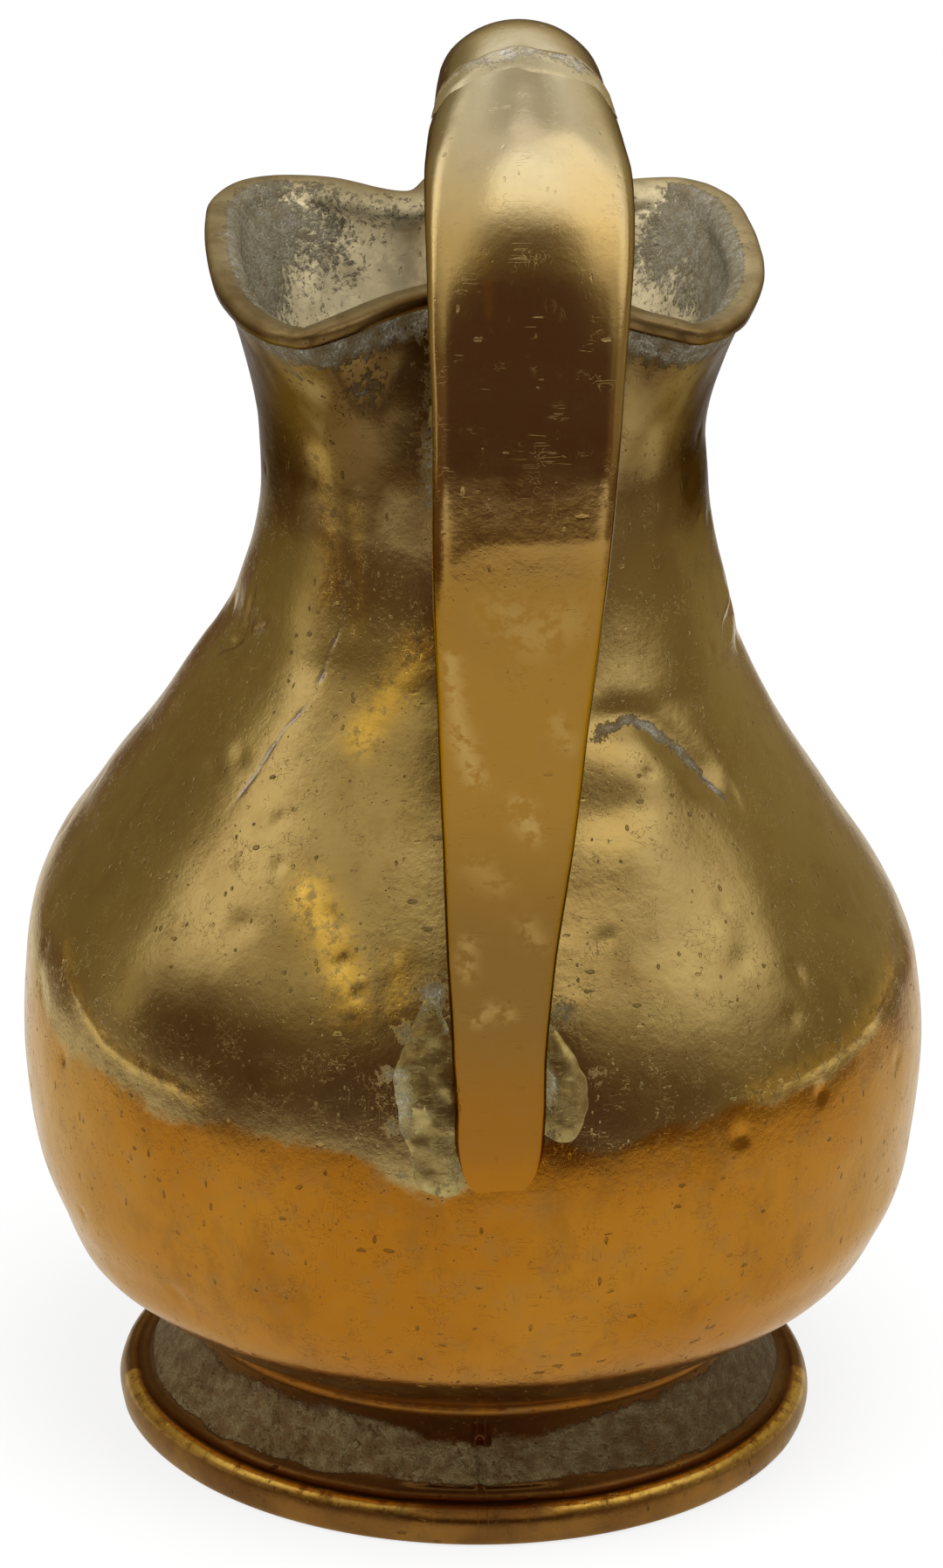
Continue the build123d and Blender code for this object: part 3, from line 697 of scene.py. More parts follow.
def strap_grid(path, count, thick, edge, lift=0.0):
    """A bent strap with a crowned face and rounded edges, as rows of points that close round its section."""
    path = np.array(path, float)
    along = lengths_along(path[:, :2])
    reach, z, half, arc = (through(along, path[:, k], np.linspace(0, along[-1], count)) for k in range(4))
    nearest = np.argmin(np.hypot(reach[:, None] - handle_line[:, 0], z[:, None] - handle_line[:, 1]), axis=1)
    run = handle_run[nearest]
    half, arc = (half + lift)[:, None], (arc + lift)[:, None]
    even = np.linspace(-1, 1, ACROSS)
    u = np.sin(even * math.pi / 2)[None] * 0.5 + even[None] * 0.5
    crown = arc - np.sqrt(np.maximum(arc**2 - (half * u) ** 2, 0))
    side = np.clip((abs(u) * half - (half - edge)) / edge, 0, 1)
    outer = crown + thick * 0.45 * (1 - np.sqrt(1 - side**2)) - lift
    under = np.clip((abs(u) * half - (half - UNDER_EDGE)) / UNDER_EDGE, 0, 1)
    inner = crown + thick - thick * 0.3 * (1 - np.sqrt(1 - under**2)) - lift
    x = np.concatenate([half * u, (half * u * 0.992)[:, ::-1]], axis=1)
    drop = np.concatenate([outer, inner[:, ::-1]], axis=1)
    points = np.stack([x, -(reach[:, None] - run[:, 1:2] * drop), z[:, None] + run[:, 0:1] * drop], axis=-1)
    points[..., 0] += np.interp(points[..., 2], [k[0] for k in STRAP_LEAN], [k[1] for k in STRAP_LEAN])
    return points


def grid_object(name, points):
    """A closed tube of rows with flat ends."""
    rows, width = points.shape[:2]
    return make_object(name, points, [face[::-1] for face in ring_faces(rows, capped=True, width=width)])


def strap_blot(points, line, wide):
    """1 along a line on the strap's near face, given by places across and heights."""
    flat = np.array([(x, 0.0, z) for x, z in line])
    return bell(off_line(points * [1, 0, 1], flat)[0], wide) * (points[..., 1] < -20)


points = strap_grid(STRAP, STRAP_ROWS, THICK, 1.5)
points[..., 1] += abs(0.14 * uneven(points, 11.0, 81)) + abs(0.04 * uneven(points, 5.0, 83))
points[..., 0] += 0.06 * uneven(points, 9.0, 85)
strap = grid_object("handle_strap_face", points)
blots = np.zeros(points.shape[:2])
for blot, wide, amount in (
    (((-5.8, 92.6), (-5.4, 89.0), (-5.0, 86.5)), 0.8, 0.7),
    (((-4.9, 85.6), (-4.0, 82.6), (-3.3, 80.8)), 1.0, 0.8),
    (((0.4, 78.0), (1.0, 76.6), (1.7, 75.4)), 1.1, 0.75),
    (((3.2, 86.5), (4.2, 84.0)), 0.9, 0.4),
    (((-2.4, 56.4), (-1.2, 57.4), (0.2, 57.0)), 0.8, 0.5),
    (((-3.4, 64.0), (-3.4, 61.0)), 0.9, 0.45),
    (((1.6, 66.0), (2.6, 64.0)), 0.9, 0.4),
    (((-1.5, 97.0), (1.0, 94.5), (3.4, 96.0)), 2.0, 0.45),
    (((-3.0, 72.0), (-1.0, 70.0)), 1.2, 0.3),
):
    blots = np.maximum(blots, amount * strap_blot(points, blot, wide))
glint = 0.8 * strap_blot(points, ((-3.7, 126.5), (-3.3, 122.0)), 0.3)
mark_all(strap, blots.shape, {"patch": blots, "gold": glint})
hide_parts("handle_strap")

points = strap_grid(CROOK, CROOK_ROWS, THICK, 1.4)
points[..., 2] -= abs(0.1 * uneven(points, 8.0, 87))
crook = grid_object("handle_crook_face", points)
mark_all(crook, points.shape[:2], {"deposit": 0.6 * (1 - smooth(104, 112, points[..., 2]))})
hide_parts("handle_crook")

# The skin is uneven, pale and lilac, with a dark fold along its far edge
points = strap_grid(SEAM_SKIN, SKIN_ROWS, 1.3, 1.4, 0.05)
share = np.linspace(0, 1, SKIN_ROWS)[:, None]
ragged = 0.5 * uneven(points, 3.0, 88) + 0.3 * uneven(points, 1.4, 89)
skin = smooth(0.0, 0.34, share + 0.3 * ragged) * (1 - smooth(0.66, 1.0, share + 0.2 * ragged))
away = np.concatenate([np.ones(ACROSS), -np.ones(ACROSS)])
points[..., 2] += away * (-0.24 + 0.36 * skin + 0.09 * uneven(points, 1.5, 90) * skin)
crest = grid_object("crest_skin", points)
x = points[..., 0]
fold = bell(share - 0.72 - 0.05 * uneven(points, 2.5, 92), 0.06)
fold = fold * np.clip(smooth(0.8, 2.2, x) + 0.7 * smooth(-3.0, -4.4, x), 0, 1)
patches = 0.4 + 0.6 * np.maximum(bell(x + 1.6, 2.4), bell(x - 4.0, 1.6))
crest_dirt = np.clip(skin * (0.35 + 0.5 * smooth(0.2, 0.6, share) + 0.4 * ragged) * patches, 0, 1)
mark_all(crest, skin.shape, {"deposit": crest_dirt, "crack": 0.85 * fold})
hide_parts("crest_braze")

# ---------------------------------------------------------------- braze lumps beside the strap's foot
SPOKES, RINGS = 144, 30
# How far a lump stands out of the wall and how deep it goes in
LUMP_HEIGHT, LUMP_DEPTH = 0.42, 0.9


def lump(name, middle, outline, seed):
    """A flat lump of braze metal on the belly. middle and the outline's points give a place across and a height."""
    t = np.arange(SPOKES) * 360.0 / SPOKES
    cos, sin = np.cos(np.radians(t)), np.sin(np.radians(t))
    spokes = np.array(outline, float) - middle
    directions = np.degrees(np.arctan2(spokes[:, 1], spokes[:, 0]))
    reach = np.interp(t, directions, np.hypot(spokes[:, 0], spokes[:, 1]), period=360)
    for _ in range(3):
        reach = (reach + np.roll(reach, 1) + np.roll(reach, -1)) / 3
    rho = (np.arange(RINGS + 1) / RINGS)[:, None]
    ragged = 1 + 0.09 * uneven(np.stack([cos * 3, sin * 3, t * 0], axis=-1), 1.1, seed)
    x = middle[0] + rho * (reach * ragged * cos)
    z = middle[1] + rho * (reach * ragged * sin)
    angle = np.degrees(np.arcsin(np.clip(x / BELLY_RADIUS, -1, 1)))
    flat = np.stack([x, 0 * x, z], axis=-1)
    rough = 0.2 * uneven(flat, 2.3, seed + 1) + 0.09 * uneven(flat, 0.9, seed + 2)
    lift = LUMP_HEIGHT * np.clip(1 - rho**3, 0, 1) + rough * (1 - rho**4) - 0.02 - 0.2 * rho**8
    points = np.concatenate([on_wall(angle, z, lift), on_wall(angle, z, np.full(x.shape, -LUMP_DEPTH))[::-1]])
    obj = make_object(name, points, ring_faces(len(points), capped=True, width=SPOKES))
    # Pale dirt on the side away from the strap on the left lump and towards it on the right one, and pale on top as
    # dirt with a painted highlight
    start, end = (-0.4, -1.8) if middle[0] < 0 else (0.6, -1.0)
    dirt_and_highlight = np.maximum(smooth(middle[0] + start, middle[0] + end, x), smooth(51.5, 54.0, z))
    dirt = np.clip(0.06 + 0.6 * dirt_and_highlight + 0.55 * uneven(flat, 1.5, seed + 3), 0, 1)
    dirt = np.concatenate([dirt, dirt[::-1]])
    mark_all(obj, dirt.shape, {"deposit": dirt})
    return obj


LEFT_LUMP = [
    (-4.6, 56.6), (-6.3, 55.6), (-7.3, 53.6), (-8.3, 51.6), (-9.0, 50.0), (-9.2, 48.0), (-8.9, 45.9), (-8.2, 43.4),
    (-7.5, 41.6), (-7.8, 39.9), (-7.7, 38.6), (-5.6, 38.0), (-3.4, 37.9), (-2.5, 38.8), (-2.6, 40.5), (-3.1, 43.0),
    (-3.2, 47.0), (-3.3, 52.0),
]
RIGHT_LUMP = [
    (4.3, 56.0), (5.6, 54.2), (7.0, 52.4), (8.2, 49.9), (8.6, 47.2), (8.0, 44.8), (6.4, 43.2), (4.8, 43.2),
    (3.2, 44.6), (3.1, 48.0), (3.3, 52.0),
]
left_lump = lump("braze_lump_left", (-6.2, 46.5), LEFT_LUMP, 121)
right_lump = lump("braze_lump_right", (5.6, 48.4), RIGHT_LUMP, 131)
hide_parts("handle_braze_left")
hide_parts("handle_braze_right")


# ---------------------------------------------------------------- materials
class Nodes:
    """Builds the nodes of a material or world with short calls. Values may be sockets or constants."""

    def __init__(self, owner, out="ShaderNodeOutputMaterial"):
        owner.use_nodes = True
        self.owner = owner
        self.tree = owner.node_tree
        self.tree.nodes.clear()
        self.out = self.tree.nodes.new(out)

    def give(self, socket, value):
        """Links a socket to another or sets its constant."""
        if isinstance(value, bpy.types.NodeSocket):
            self.tree.links.new(value, socket)
        else:
            socket.default_value = (*value, 1.0) if socket.type == "RGBA" else value

    def node(self, kind, inputs=None, **settings):
        n = self.tree.nodes.new(kind)
        for key, value in settings.items():
            setattr(n, key, value)
        for key, value in (inputs or {}).items():
            self.give(n.inputs[key], value)
        return n

    def finish(self, shader):
        self.give(self.out.inputs[0], shader.outputs[0])
        return self.owner

    def math(self, operation, a, b=0.0, clamp=False):
        return self.node("ShaderNodeMath", {0: a, 1: b}, operation=operation, use_clamp=clamp).outputs[0]

    def plus(self, a, b, clamp=False):
        return self.math("ADD", a, b, clamp)

    def minus(self, a, b, clamp=False):
        return self.math("SUBTRACT", a, b, clamp)

    def times(self, a, b, clamp=False):
        return self.math("MULTIPLY", a, b, clamp)

    def larger(self, *values):
        most = values[0]
        for value in values[1:]:
            most = self.math("MAXIMUM", most, value)
        return most

    def swing(self, noise, amount):
        """A noise brought to swing round 0, times an amount."""
        return self.times(self.minus(noise, 0.5), amount)

    def spread(self, value, low, high):
        """0 at low, 1 at high and an even S between them."""
        inputs = {"Value": value, "From Min": low, "From Max": high}
        return self.node("ShaderNodeMapRange", inputs, interpolation_type="SMOOTHSTEP").outputs[0]

    def mix(self, share, a, b):
        return self.node("ShaderNodeMix", {0: share, 6: a, 7: b}, data_type="RGBA").outputs[2]

    def tone(self, colour, other, value, low, high, share):
        """Lays another colour over a colour where a value goes from low to high, up to a share."""
        return self.mix(self.times(self.spread(value, low, high), share), colour, other)

    def noise(self, vector, scale, detail=2.0, roughness=0.5):
        inputs = {"Vector": vector, "Scale": scale, "Detail": detail, "Roughness": roughness}
        return self.node("ShaderNodeTexNoise", inputs).outputs[0]

    def stretched(self, vector, scale, turned):
        inputs = {"Vector": vector, "Scale": scale, "Rotation": turned}
        return self.node("ShaderNodeMapping", inputs).outputs[0]

    def cells(self, vector, scale):
        inputs = {"Vector": vector, "Scale": scale, "Randomness": 1.0}
        return self.node("ShaderNodeTexVoronoi", inputs, feature="F1").outputs["Distance"]

    def place(self):
        return self.node("ShaderNodeTexCoord").outputs["Object"]

    def axes(self, vector):
        return self.node("ShaderNodeSeparateXYZ", {0: vector}).outputs

    def mark(self, name):
        return self.node("ShaderNodeAttribute", attribute_name=name).outputs["Fac"]


# Metal colours. The orange paints a reflection of a warm table, and the gold also paints highlights
ORANGE_TABLE_REFLECTION = (0.345, 0.131, 0.0094)
OLIVE = (0.40, 0.285, 0.105)
BROWN = (0.26, 0.145, 0.045)
GOLD = (0.78, 0.50, 0.10)
BLOT = (0.42, 0.275, 0.08)
# The dark film with painted shade and dark reflections, outside and in the mouth, and the dark of nicks and pricks
FILM_AND_SHADE = (0.148, 0.084, 0.024)
MOUTH_FILM = (0.118, 0.096, 0.042)
NICK = (0.11, 0.065, 0.02)
PRICK = (0.12, 0.075, 0.03)
# Dirt: base, pale crumbs, brown that breaks it up
GREY_DIRT = ((0.20, 0.175, 0.12), (0.48, 0.46, 0.38), (0.14, 0.10, 0.045))
BROWN_DIRT = ((0.175, 0.125, 0.048), (0.265, 0.205, 0.098), (0.12, 0.068, 0.020))
BRAZE_DIRT = ((0.27, 0.235, 0.13), (0.44, 0.42, 0.33), (0.26, 0.195, 0.075))
CREST_DIRT = ((0.40, 0.36, 0.30), (0.60, 0.56, 0.54), (0.40, 0.34, 0.22))
MOUTH_DIRT = (0.175, 0.155, 0.108)
# Tint of the reflection at grazing angles
PALE_EDGE = (1.0, 0.92, 0.74)

# Nicks: scale and turn of the cells, scale of the patches they come in
NICKS = (((0.24, 0.66, 0.66), (0.3, 0.5, 0.9), 0.17), ((0.8, 0.8, 0.30), (0.2, 0.9, 0.1), 0.23))
# Scratches: scale and turn of the noise whose middle line they follow
SCRATCHES = (
    ((0.09, 1.9, 1.9), (0.3, 0.5, 0.2)), ((1.7, 0.11, 1.7), (0.6, 0.2, 0.9)), ((1.8, 1.8, 0.10), (0.2, 0.7, 0.4))
)


def brass(name, zones, dirt=GREY_DIRT, film_and_shade=FILM_AND_SHADE, slit=(0.34, 0.30, 0.285), tarnish=0.3, pits=1.0, grain=1.0,
          roughness=0.24, edge=PALE_EDGE, top_edge=None):
    """Old brass. zones takes the node builder, the place in mm, a broad and a fine noise and gives the metal's
    colour, with painted reflections on the belly and the handle. top_edge is the tint at grazing angles above the
    shoulder."""
    b = Nodes(bpy.data.materials.new(name))
    mm = b.node("ShaderNodeVectorMath", {0: b.place(), "Scale": 1000.0}, operation="SCALE").outputs[0]
    middle = b.noise(mm, 0.35, 4.0, 0.6)
    fine = b.noise(mm, 2.2, 3.0, 0.6)
    inner = b.mark("inner")
    colour = zones(b, mm, middle, fine)

    # Tarnish: faint patches everywhere, and the dark film, painted shade and painted dark reflections that the marks
    # give
    colour = b.tone(colour, BROWN, middle, 0.46, 0.74, tarnish)
    colour = b.tone(colour, BROWN, fine, 0.60, 0.78, 0.15)
    skin = b.times(b.mark("film_and_shade"), b.plus(0.74, b.times(middle, 0.5)), clamp=True)
    colour = b.mix(skin, colour, b.mix(inner, film_and_shade, MOUTH_FILM))
    colour = b.mix(b.times(b.mark("patch"), b.spread(b.noise(mm, 0.7, 3.0, 0.6), 0.40, 0.56)), colour, BLOT)

    # Nicks: small lengthened holes that lie in two directions, each kind in patches, and round pricks
    nicks = []
    for scale, turned, patch_scale in NICKS:
        hole = b.plus(b.cells(b.stretched(mm, scale, turned), 1.0), b.swing(fine, 0.22))
        where = b.spread(b.noise(mm, patch_scale, 2.0, 0.5), 0.47, 0.60)
        nicks.append(b.times(b.spread(hole, 0.15, 0.07), where))
    nick = b.larger(*nicks)
    prick = b.times(b.spread(b.cells(mm, 1.5), 0.20, 0.08), b.spread(b.noise(mm, 0.5, 2.0), 0.52, 0.68))
    colour = b.mix(b.times(nick, 0.42 * pits, clamp=True), colour, NICK)
    colour = b.mix(b.times(prick, 0.32 * pits, clamp=True), colour, PRICK)

    scratches = []
    for scale, turned in SCRATCHES:
        line = b.math("ABSOLUTE", b.minus(b.noise(b.stretched(mm, scale, turned), 1.0, 2.0, 0.5), 0.5))
        where = b.spread(b.noise(b.stretched(mm, (0.4, 0.4, 0.4), turned), 1.0, 2.0), 0.56, 0.68)
        scratches.append(b.times(b.spread(line, 0.010, 0.0), where))
    scratch = b.larger(*scratches)

    # Dirt: speckled with pale crumbs and broken up by brown
    amount = b.mark("deposit")
    crumbs = b.noise(mm, 1.6, 4.0, 0.75)
    cover = b.spread(b.plus(amount, b.swing(crumbs, 1.5)), 0.40, 0.74)
    cover = b.times(cover, b.spread(amount, 0.04, 0.22))
    soil = b.mix(b.spread(b.noise(mm, 4.2, 3.0, 0.8), 0.47, 0.68), dirt[0], dirt[1])
    soil = b.mix(b.spread(b.noise(mm, 0.8, 3.0, 0.7), 0.42, 0.62), soil, dirt[2])
    soil = b.mix(b.times(inner, 0.5), soil, MOUTH_DIRT)

    # Bare bright metal and painted highlights in broken flecks, then cracks, then the dirt over all
    bright = b.times(b.mark("gold"), b.spread(b.noise(mm, 0.8, 4.0, 0.7), 0.34, 0.54))
    colour = b.mix(bright, colour, GOLD)
    colour = b.mix(b.mark("crack"), colour, slit)
    colour = b.mix(cover, colour, soil)

    metal = b.minus(1.0, b.times(cover, 0.85), clamp=True)
    metal = b.minus(metal, b.times(inner, 0.72), clamp=True)
    rough = b.plus(roughness, b.swing(middle, 0.12))
    for layer, share in ((cover, 0.42), (inner, 0.14), (skin, 0.10)):
        rough = b.plus(rough, b.times(layer, share))
    rough = b.plus(rough, b.times(nick, 0.2), clamp=True)

    height = b.plus(b.swing(middle, 0.07 * grain), b.times(fine, 0.014 * grain))
    for layer, depth in ((nick, 0.16), (prick, 0.05), (scratch, 0.03)):
        height = b.minus(height, b.times(layer, depth * pits))
    height = b.plus(height, b.times(cover, b.times(crumbs, 0.4)))
    bump = b.node("ShaderNodeBump", {"Height": height, "Strength": 1.0, "Distance": MM})
    tint = b.mix(b.spread(b.axes(mm)[2], 78.0, 92.0), edge, top_edge) if top_edge else edge
    surface = {"Base Color": colour, "Metallic": metal, "Roughness": rough, "Specular Tint": tint}
    return b.finish(b.node("ShaderNodeBsdfPrincipled", {**surface, "Normal": bump.outputs[0]}))


def two_tones(low, high, first, second):
    """Two colours in broad patches."""
    return lambda b, mm, middle, fine: b.mix(b.spread(middle, low, high), first, second)


def belly_zones(b, mm, middle, fine):
    """Olive above the orange zone, which is a painted reflection of a warm table. The orange is mottled, smudged
    and yellower at the sides.
    """
    ragged = b.plus(b.mark("above"), b.swing(fine, 1.4))
    broad = b.noise(mm, 0.06, 3.0, 0.55)
    olive = b.tone(OLIVE, BROWN, broad, 0.45, 0.72, 0.22)
    orange = b.tone(ORANGE_TABLE_REFLECTION, (0.43, 0.200, 0.025), broad, 0.40, 0.66, 0.38)
    smudge = b.noise(b.stretched(mm, (0.16, 0.16, 0.09), (0.0, 0.0, 0.0)), 1.0, 5.0, 0.68)
    orange = b.tone(orange, (0.215, 0.088, 0.012), smudge, 0.50, 0.68, 0.42)
    # Painted grazing reflection: the orange turns yellower towards the sides
    sideways = b.math("ABSOLUTE", b.axes(mm)[0])
    orange = b.tone(orange, (0.40, 0.24, 0.045), sideways, 27.0, 41.0, 0.5)
    return b.mix(b.spread(ragged, -0.7, 0.7), orange, olive)


def neck_zones(b, mm, middle, fine):
    """As the belly outside, and pale inside in patches, painting a bright reflection."""
    clean = b.tone((0.88, 0.75, 0.48), (0.44, 0.38, 0.25), b.noise(mm, 0.28, 4.0, 0.65), 0.44, 0.62, 0.55)
    return b.mix(b.mark("inner"), belly_zones(b, mm, middle, fine), clean)


def handle_reflection_zones(b, mm, middle, fine):
    """From orange at the strap's foot, a painted reflection of a warm table, through darker bands to pale gold at
    the crest, a painted highlight.
    """
    z = b.plus(b.axes(mm)[2], b.swing(middle, 5.0))
    colour = (0.325, 0.128, 0.0105)
    for low, high, above in (
        (38.5, 45.0, (0.265, 0.111, 0.014)),
        (45.0, 58.0, (0.205, 0.108, 0.022)),
        (62.0, 80.0, (0.300, 0.155, 0.026)),
        (96.0, 118.0, (0.54, 0.385, 0.16)),
        (126.0, 138.0, (0.57, 0.49, 0.33)),
    ):
        colour = b.mix(b.spread(z, low, high), colour, above)
    return colour


foot_zones = two_tones(0.35, 0.75, (0.36, 0.17, 0.030), (0.25, 0.13, 0.035))
braze_zones = two_tones(0.42, 0.60, (0.31, 0.225, 0.078), (0.45, 0.36, 0.14))
# The collar's braze in dark brown, which also paints the shade under the belly
collar_braze_and_shade_zones = two_tones(0.35, 0.75, (0.30, 0.115, 0.014), (0.20, 0.085, 0.018))
FOOT_LOOK = {"film_and_shade": (0.135, 0.058, 0.014), "slit": (0.085, 0.018, 0.007), "tarnish": 0.4, "roughness": 0.27}
HANDLE_LOOK = {"tarnish": 0.14, "pits": 0.16, "grain": 0.45, "roughness": 0.16, "edge": (0.42, 0.36, 0.27)}
CREST_LOOK = {"slit": (0.12, 0.085, 0.05), "tarnish": 0.1, "pits": 0.5, "roughness": 0.3}
materials = {
    "belly": brass("old_brass_belly", belly_zones),
    "neck": brass("old_brass_neck", neck_zones, top_edge=(0.42, 0.40, 0.37)),
    "foot": brass("old_brass_foot", foot_zones, BROWN_DIRT, **FOOT_LOOK),
    "handle": brass("old_brass_handle", handle_reflection_zones, **HANDLE_LOOK),
    "crest": brass("crest_braze_metal", handle_reflection_zones, CREST_DIRT, **CREST_LOOK),
    "braze": brass("braze_metal", braze_zones, BRAZE_DIRT, tarnish=0.15, grain=1.6, roughness=0.4),
    "collar": brass("collar_braze_and_shade_metal", collar_braze_and_shade_zones, roughness=0.45),
}
for obj, key, slot in (
    (belly, "belly", "belly_brass"),
    (seam_ring, "belly", "braze"),
    (neck, "neck", "neck_brass"),
    (foot_ring, "foot", "foot_brass"),
    (foot_butt, "foot", "braze"),
    (strap, "handle", "handle_brass"),
    (crook, "handle", "handle_brass"),
    (crest, "crest", "braze"),
    (left_lump, "braze", "braze"),
    (right_lump, "braze", "braze"),
):
    obj.data.materials.append(materials[key])
for name, key in (("foot_collar_braze", "collar"), ("rim_braze", "braze")):
    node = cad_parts[name]
    node.data.materials.clear()
    node.data.materials.append(materials[key])

# ---------------------------------------------------------------- camera
# The photo's angle, the focal length and image height it was fitted with in pixels, and the camera's shift,
# height and distance from the jug in mm
AZIMUTH, ELEVATION, ROLL = math.radians(-3.6), math.radians(21.7), math.radians(1.34)
FOCAL_PIXELS, IMAGE_HEIGHT, SENSOR = 8325.0, 1795.0, 36.0
SHIFT, AIM_HEIGHT, DISTANCE = -0.587, 60.76, 656.0


def direction(azimuth, elevation):
    """The direction towards an azimuth and an elevation in radians, seen from the jug."""
    level = math.cos(elevation)
    return Vector((math.sin(azimuth) * level, -math.cos(azimuth) * level, math.sin(elevation)))


back = direction(AZIMUTH, ELEVATION)
right = Vector((math.cos(AZIMUTH), math.sin(AZIMUTH), 0))
up = back.cross(right)
rolled_right = right * math.cos(ROLL) + up * math.sin(ROLL)
rolled_up = up * math.cos(ROLL) - right * math.sin(ROLL)
camera_data = bpy.data.cameras.new("camera")
camera_data.lens = FOCAL_PIXELS / IMAGE_HEIGHT * SENSOR
camera_data.sensor_width = SENSOR
camera_data.clip_start = 0.05
camera_data.clip_end = 20.0
camera = new_object("camera", camera_data)
camera_place = (right * SHIFT + Vector((0, 0, AIM_HEIGHT)) + back * DISTANCE) * MM
camera_turn = Matrix((rolled_right, rolled_up, back)).transposed().to_4x4()
camera.matrix_world = Matrix.Translation(camera_place) @ camera_turn
bpy.context.scene.camera = camera

# ---------------------------------------------------------------- floor, room and lamps
FLOOR_HALF, FLOOR_WHITE, FLOOR_GLOW = 4000, 0.88, 0.82
ROOM_RADIUS, ROOM_COLUMNS, ROOM_ROWS = 300.0, 96, 40
# The world's strength on the jug's matte parts. Seen directly or reflected it is white
WORLD_LEVEL = 0.45
# What the lamps face, in metres like their places
LAMP_AIM = Vector((0, 0, 0.06))


def stage_mesh(name, points, faces):
    obj = new_object(name, new_mesh(name, points, faces))
    return obj


def seen_white(b):
    """1 for what the camera, a reflection or a transmitted ray sees."""
    path = b.node("ShaderNodeLightPath").outputs
    return b.larger(path["Is Camera Ray"], path["Is Glossy Ray"], path["Is Transmission Ray"])


def only_reflected(obj, b, colour):
    """Gives an object a glow that only reflections see."""
    glow = b.node("ShaderNodeEmission", {"Color": colour, "Strength": 1.0})
    obj.data.materials.append(b.finish(glow))
    b.owner.cycles.emission_sampling = "NONE"
    obj.visible_camera = False
    obj.visible_diffuse = False
    obj.visible_shadow = False
    obj.visible_transmission = False


corners = [(x * FLOOR_HALF, y * FLOOR_HALF, 0) for x, y in ((-1, -1), (1, -1), (1, 1), (-1, 1))]
floor = stage_mesh("floor", corners, [(0, 1, 2, 3)])
b = Nodes(bpy.data.materials.new("pale_floor"))
matte = b.node("ShaderNodeBsdfDiffuse", {"Color": (FLOOR_WHITE, FLOOR_WHITE, FLOOR_WHITE)})
glow = b.node("ShaderNodeEmission", {"Color": (1, 1, 1), "Strength": 1.0})
shares = {0: b.times(seen_white(b), FLOOR_GLOW), 1: matte.outputs[0], 2: glow.outputs[0]}
floor.data.materials.append(b.finish(b.node("ShaderNodeMixShader", shares)))

# The room: a graded card all round, like the inside of a bowl. Sine of the elevation against colour
GRADE = [
    (-0.30, (0.17, 0.093, 0.050)), (0.05, (0.165, 0.098, 0.058)), (0.22, (0.26, 0.20, 0.13)),
    (0.38, (0.54, 0.48, 0.36)), (0.60, (0.80, 0.74, 0.58)), (0.75, (0.88, 0.83, 0.67)), (1.0, (0.85, 0.83, 0.75)),
]
DARK = GRADE[0][1]
# Soft windows and shades on it: azimuth, elevation, cosine where it starts, cosine where it is full, colour
WINDOWS = [
    (-99, 32, 0.865, 0.970, (1.48, 1.46, 1.38)),
    (-100, 3, 0.955, 0.990, (1.00, 0.93, 0.73)),
    (-126, 24, 0.82, 0.96, (0.34, 0.30, 0.19)),
    (-122, 4, 0.82, 0.96, (0.30, 0.25, 0.15)),
    (115, 6, 0.70, 0.93, (0.42, 0.37, 0.24)),
    (80, 5, 0.84, 0.96, (0.30, 0.24, 0.15)),
    (70, 34, 0.88, 0.97, (1.08, 1.06, 0.98)),
    (66, 38, 0.965, 0.992, (1.45, 1.46, 1.42)),
    (40, 54, 0.90, 0.985, (1.50, 1.42, 1.22)),
    (180, 70, 0.88, 0.97, (1.15, 1.15, 1.10)),
    (0, 90, 0.93, 0.99, (0.62, 0.58, 0.49)),
    (0, 54, 0.955, 0.992, (1.55, 1.55, 1.45)),
    (0, 76, 0.985, 0.998, (1.10, 1.06, 0.98)),
    (0, 21, 0.86, 0.97, (0.20, 0.155, 0.095)),
    (0, 0, 0.74, 0.90, (0.095, 0.050, 0.034)),
]
# The card is graded as seen from this height in the jug's middle, in metres
CARD_MIDDLE = 0.055

room_turn = np.radians(np.linspace(-180, 180, ROOM_COLUMNS + 1))
room_rise = np.radians(np.linspace(0, 90, ROOM_ROWS + 1))[:, None]
room_points = around(ROOM_RADIUS * np.cos(room_rise), room_turn, 1.0 + ROOM_RADIUS * np.sin(room_rise))
room = stage_mesh("reflection_card", room_points, quads_over(ROOM_ROWS + 1, ROOM_COLUMNS + 1))
b = Nodes(bpy.data.materials.new("graded_card"))
ray = b.node("ShaderNodeVectorMath", {0: b.place(), 1: (0, 0, CARD_MIDDLE)}, operation="SUBTRACT").outputs[0]
ray = b.node("ShaderNodeVectorMath", {0: ray}, operation="NORMALIZE").outputs[0]
lowest = GRADE[0][0]
level = b.node("ShaderNodeMapRange", {"Value": b.axes(ray)[2], "From Min": lowest, "From Max": 1.0}).outputs[0]
ramp = b.node("ShaderNodeValToRGB", {0: level})
shades = ramp.color_ramp
shades.interpolation = "EASE"
while len(shades.elements) < len(GRADE):
    shades.elements.new(0.5)
for element, (at, shade) in zip(shades.elements, GRADE):
    element.position = (at - lowest) / (1.0 - lowest)
    element.color = (*shade, 1)
colour = ramp.outputs[0]
for azimuth, elevation, start, full, light in WINDOWS:
    toward = direction(math.radians(azimuth), math.radians(elevation))
    near = b.node("ShaderNodeVectorMath", {0: ray, 1: toward}, operation="DOT_PRODUCT").outputs["Value"]
    colour = b.mix(b.spread(near, start, full), colour, light)
only_reflected(room, b, colour)

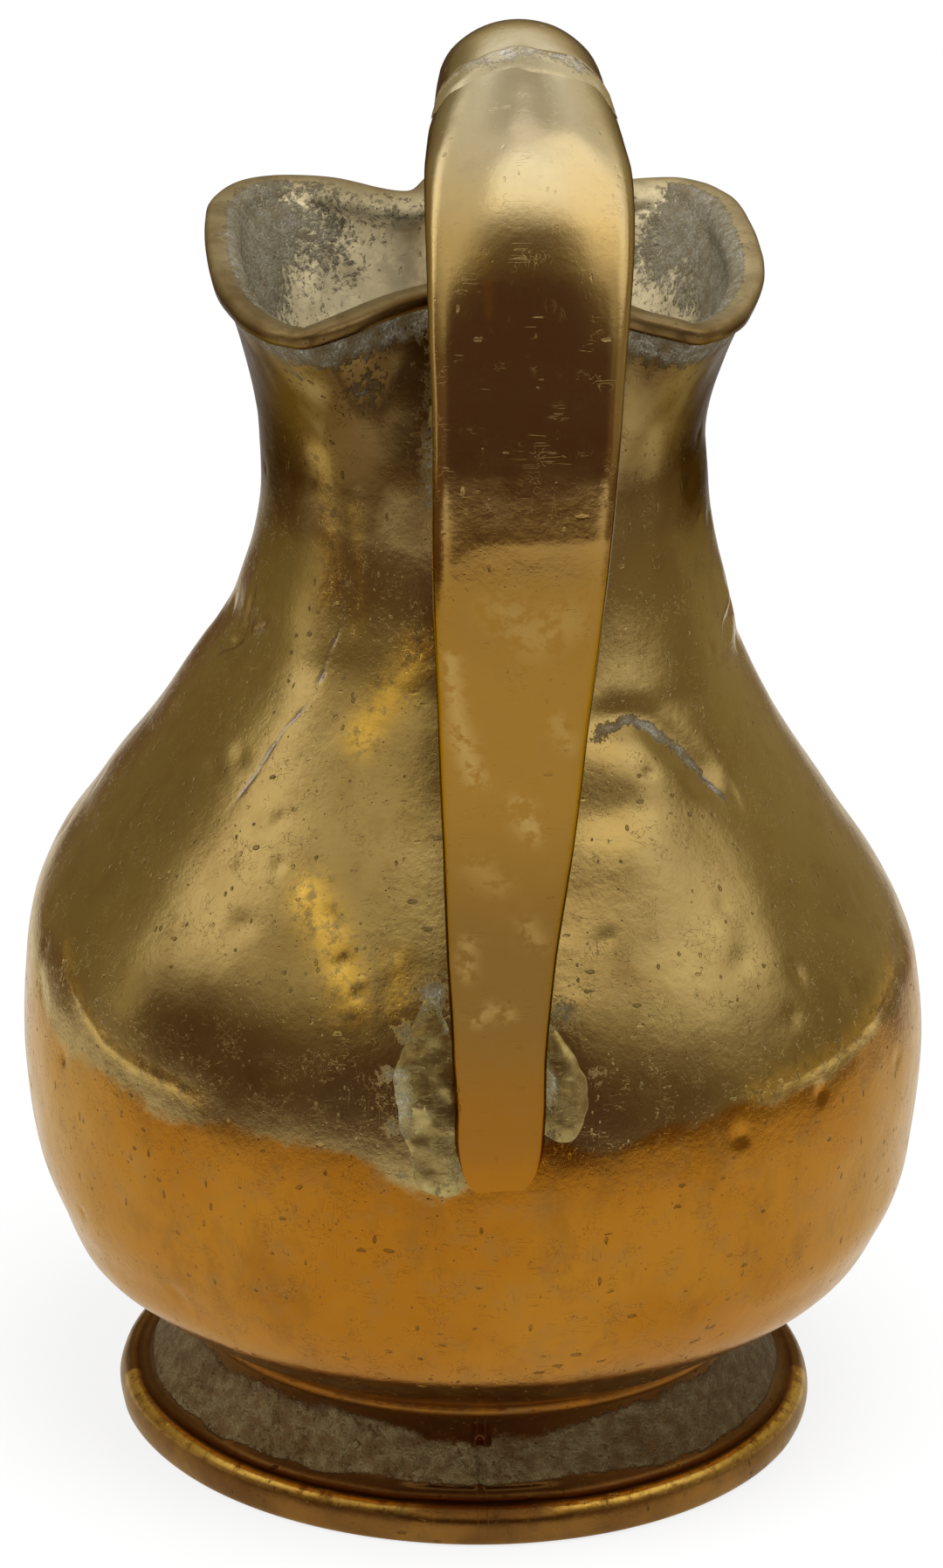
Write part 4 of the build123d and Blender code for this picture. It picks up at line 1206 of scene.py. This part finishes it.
# Beyond the pale table's edge the floor reflects as dark as the room's lower part. In metres: how far the edge
# lies towards the viewer, to the left and to the right, and the two far corners
RING_IN, RING_STEPS, RING_HEIGHT = 150.0, 96, 0.6
EDGE_NEAR, EDGE_LEFT, EDGE_RIGHT = (0.252, 0.274), (0.176, 0.214), (0.190, 0.236)
CORNER_OUT, CORNER_BACK = (0.105, 0.150), (0.050, 0.090)
ring_turn = np.radians(np.arange(RING_STEPS) * 360.0 / RING_STEPS)
ring_points = around(np.array([[RING_IN], [ROOM_RADIUS]]), ring_turn, RING_HEIGHT)
dark_ring = stage_mesh("dark_ring", ring_points, [face[::-1] for face in ring_faces(2, width=RING_STEPS)])
b = Nodes(bpy.data.materials.new("dark_ring_graded"))
x, y, _ = b.axes(b.place())
corner = b.times(b.spread(b.math("ABSOLUTE", x), *CORNER_OUT), b.spread(y, *CORNER_BACK))
near_edge, left_edge = b.spread(b.times(y, -1.0), *EDGE_NEAR), b.spread(b.times(x, -1.0), *EDGE_LEFT)
dark = b.larger(near_edge, left_edge, b.spread(x, *EDGE_RIGHT), corner)
only_reflected(dark_ring, b, b.mix(dark, (1, 1, 1), DARK))

world = bpy.data.worlds.new("world")
bpy.context.scene.world = world
b = Nodes(world, "ShaderNodeOutputWorld")
strength = b.node("ShaderNodeMapRange", {"Value": seen_white(b), "To Min": WORLD_LEVEL, "To Max": 1.0}).outputs[0]
b.finish(b.node("ShaderNodeBackground", {"Color": (1, 1, 1), "Strength": strength}))


def lamp(name, place, size, watts):
    """A round area lamp that faces the jug and is not reflected in it."""
    data = bpy.data.lights.new(name, "AREA")
    data.shape = "DISK"
    data.size = size
    data.energy = watts
    obj = new_object(name, data)
    obj.location = place
    obj.rotation_mode = "QUATERNION"
    obj.rotation_quaternion = (Vector(place) - LAMP_AIM).to_track_quat("Z", "Y")
    obj.visible_glossy = False


lamp("lamp_left", (-1.1, -0.5, 0.9), 0.8, 9.0)
lamp("lamp_top", (0.2, -0.3, 1.4), 1.0, 20.0)

bpy.context.scene.view_settings.view_transform = "Standard"
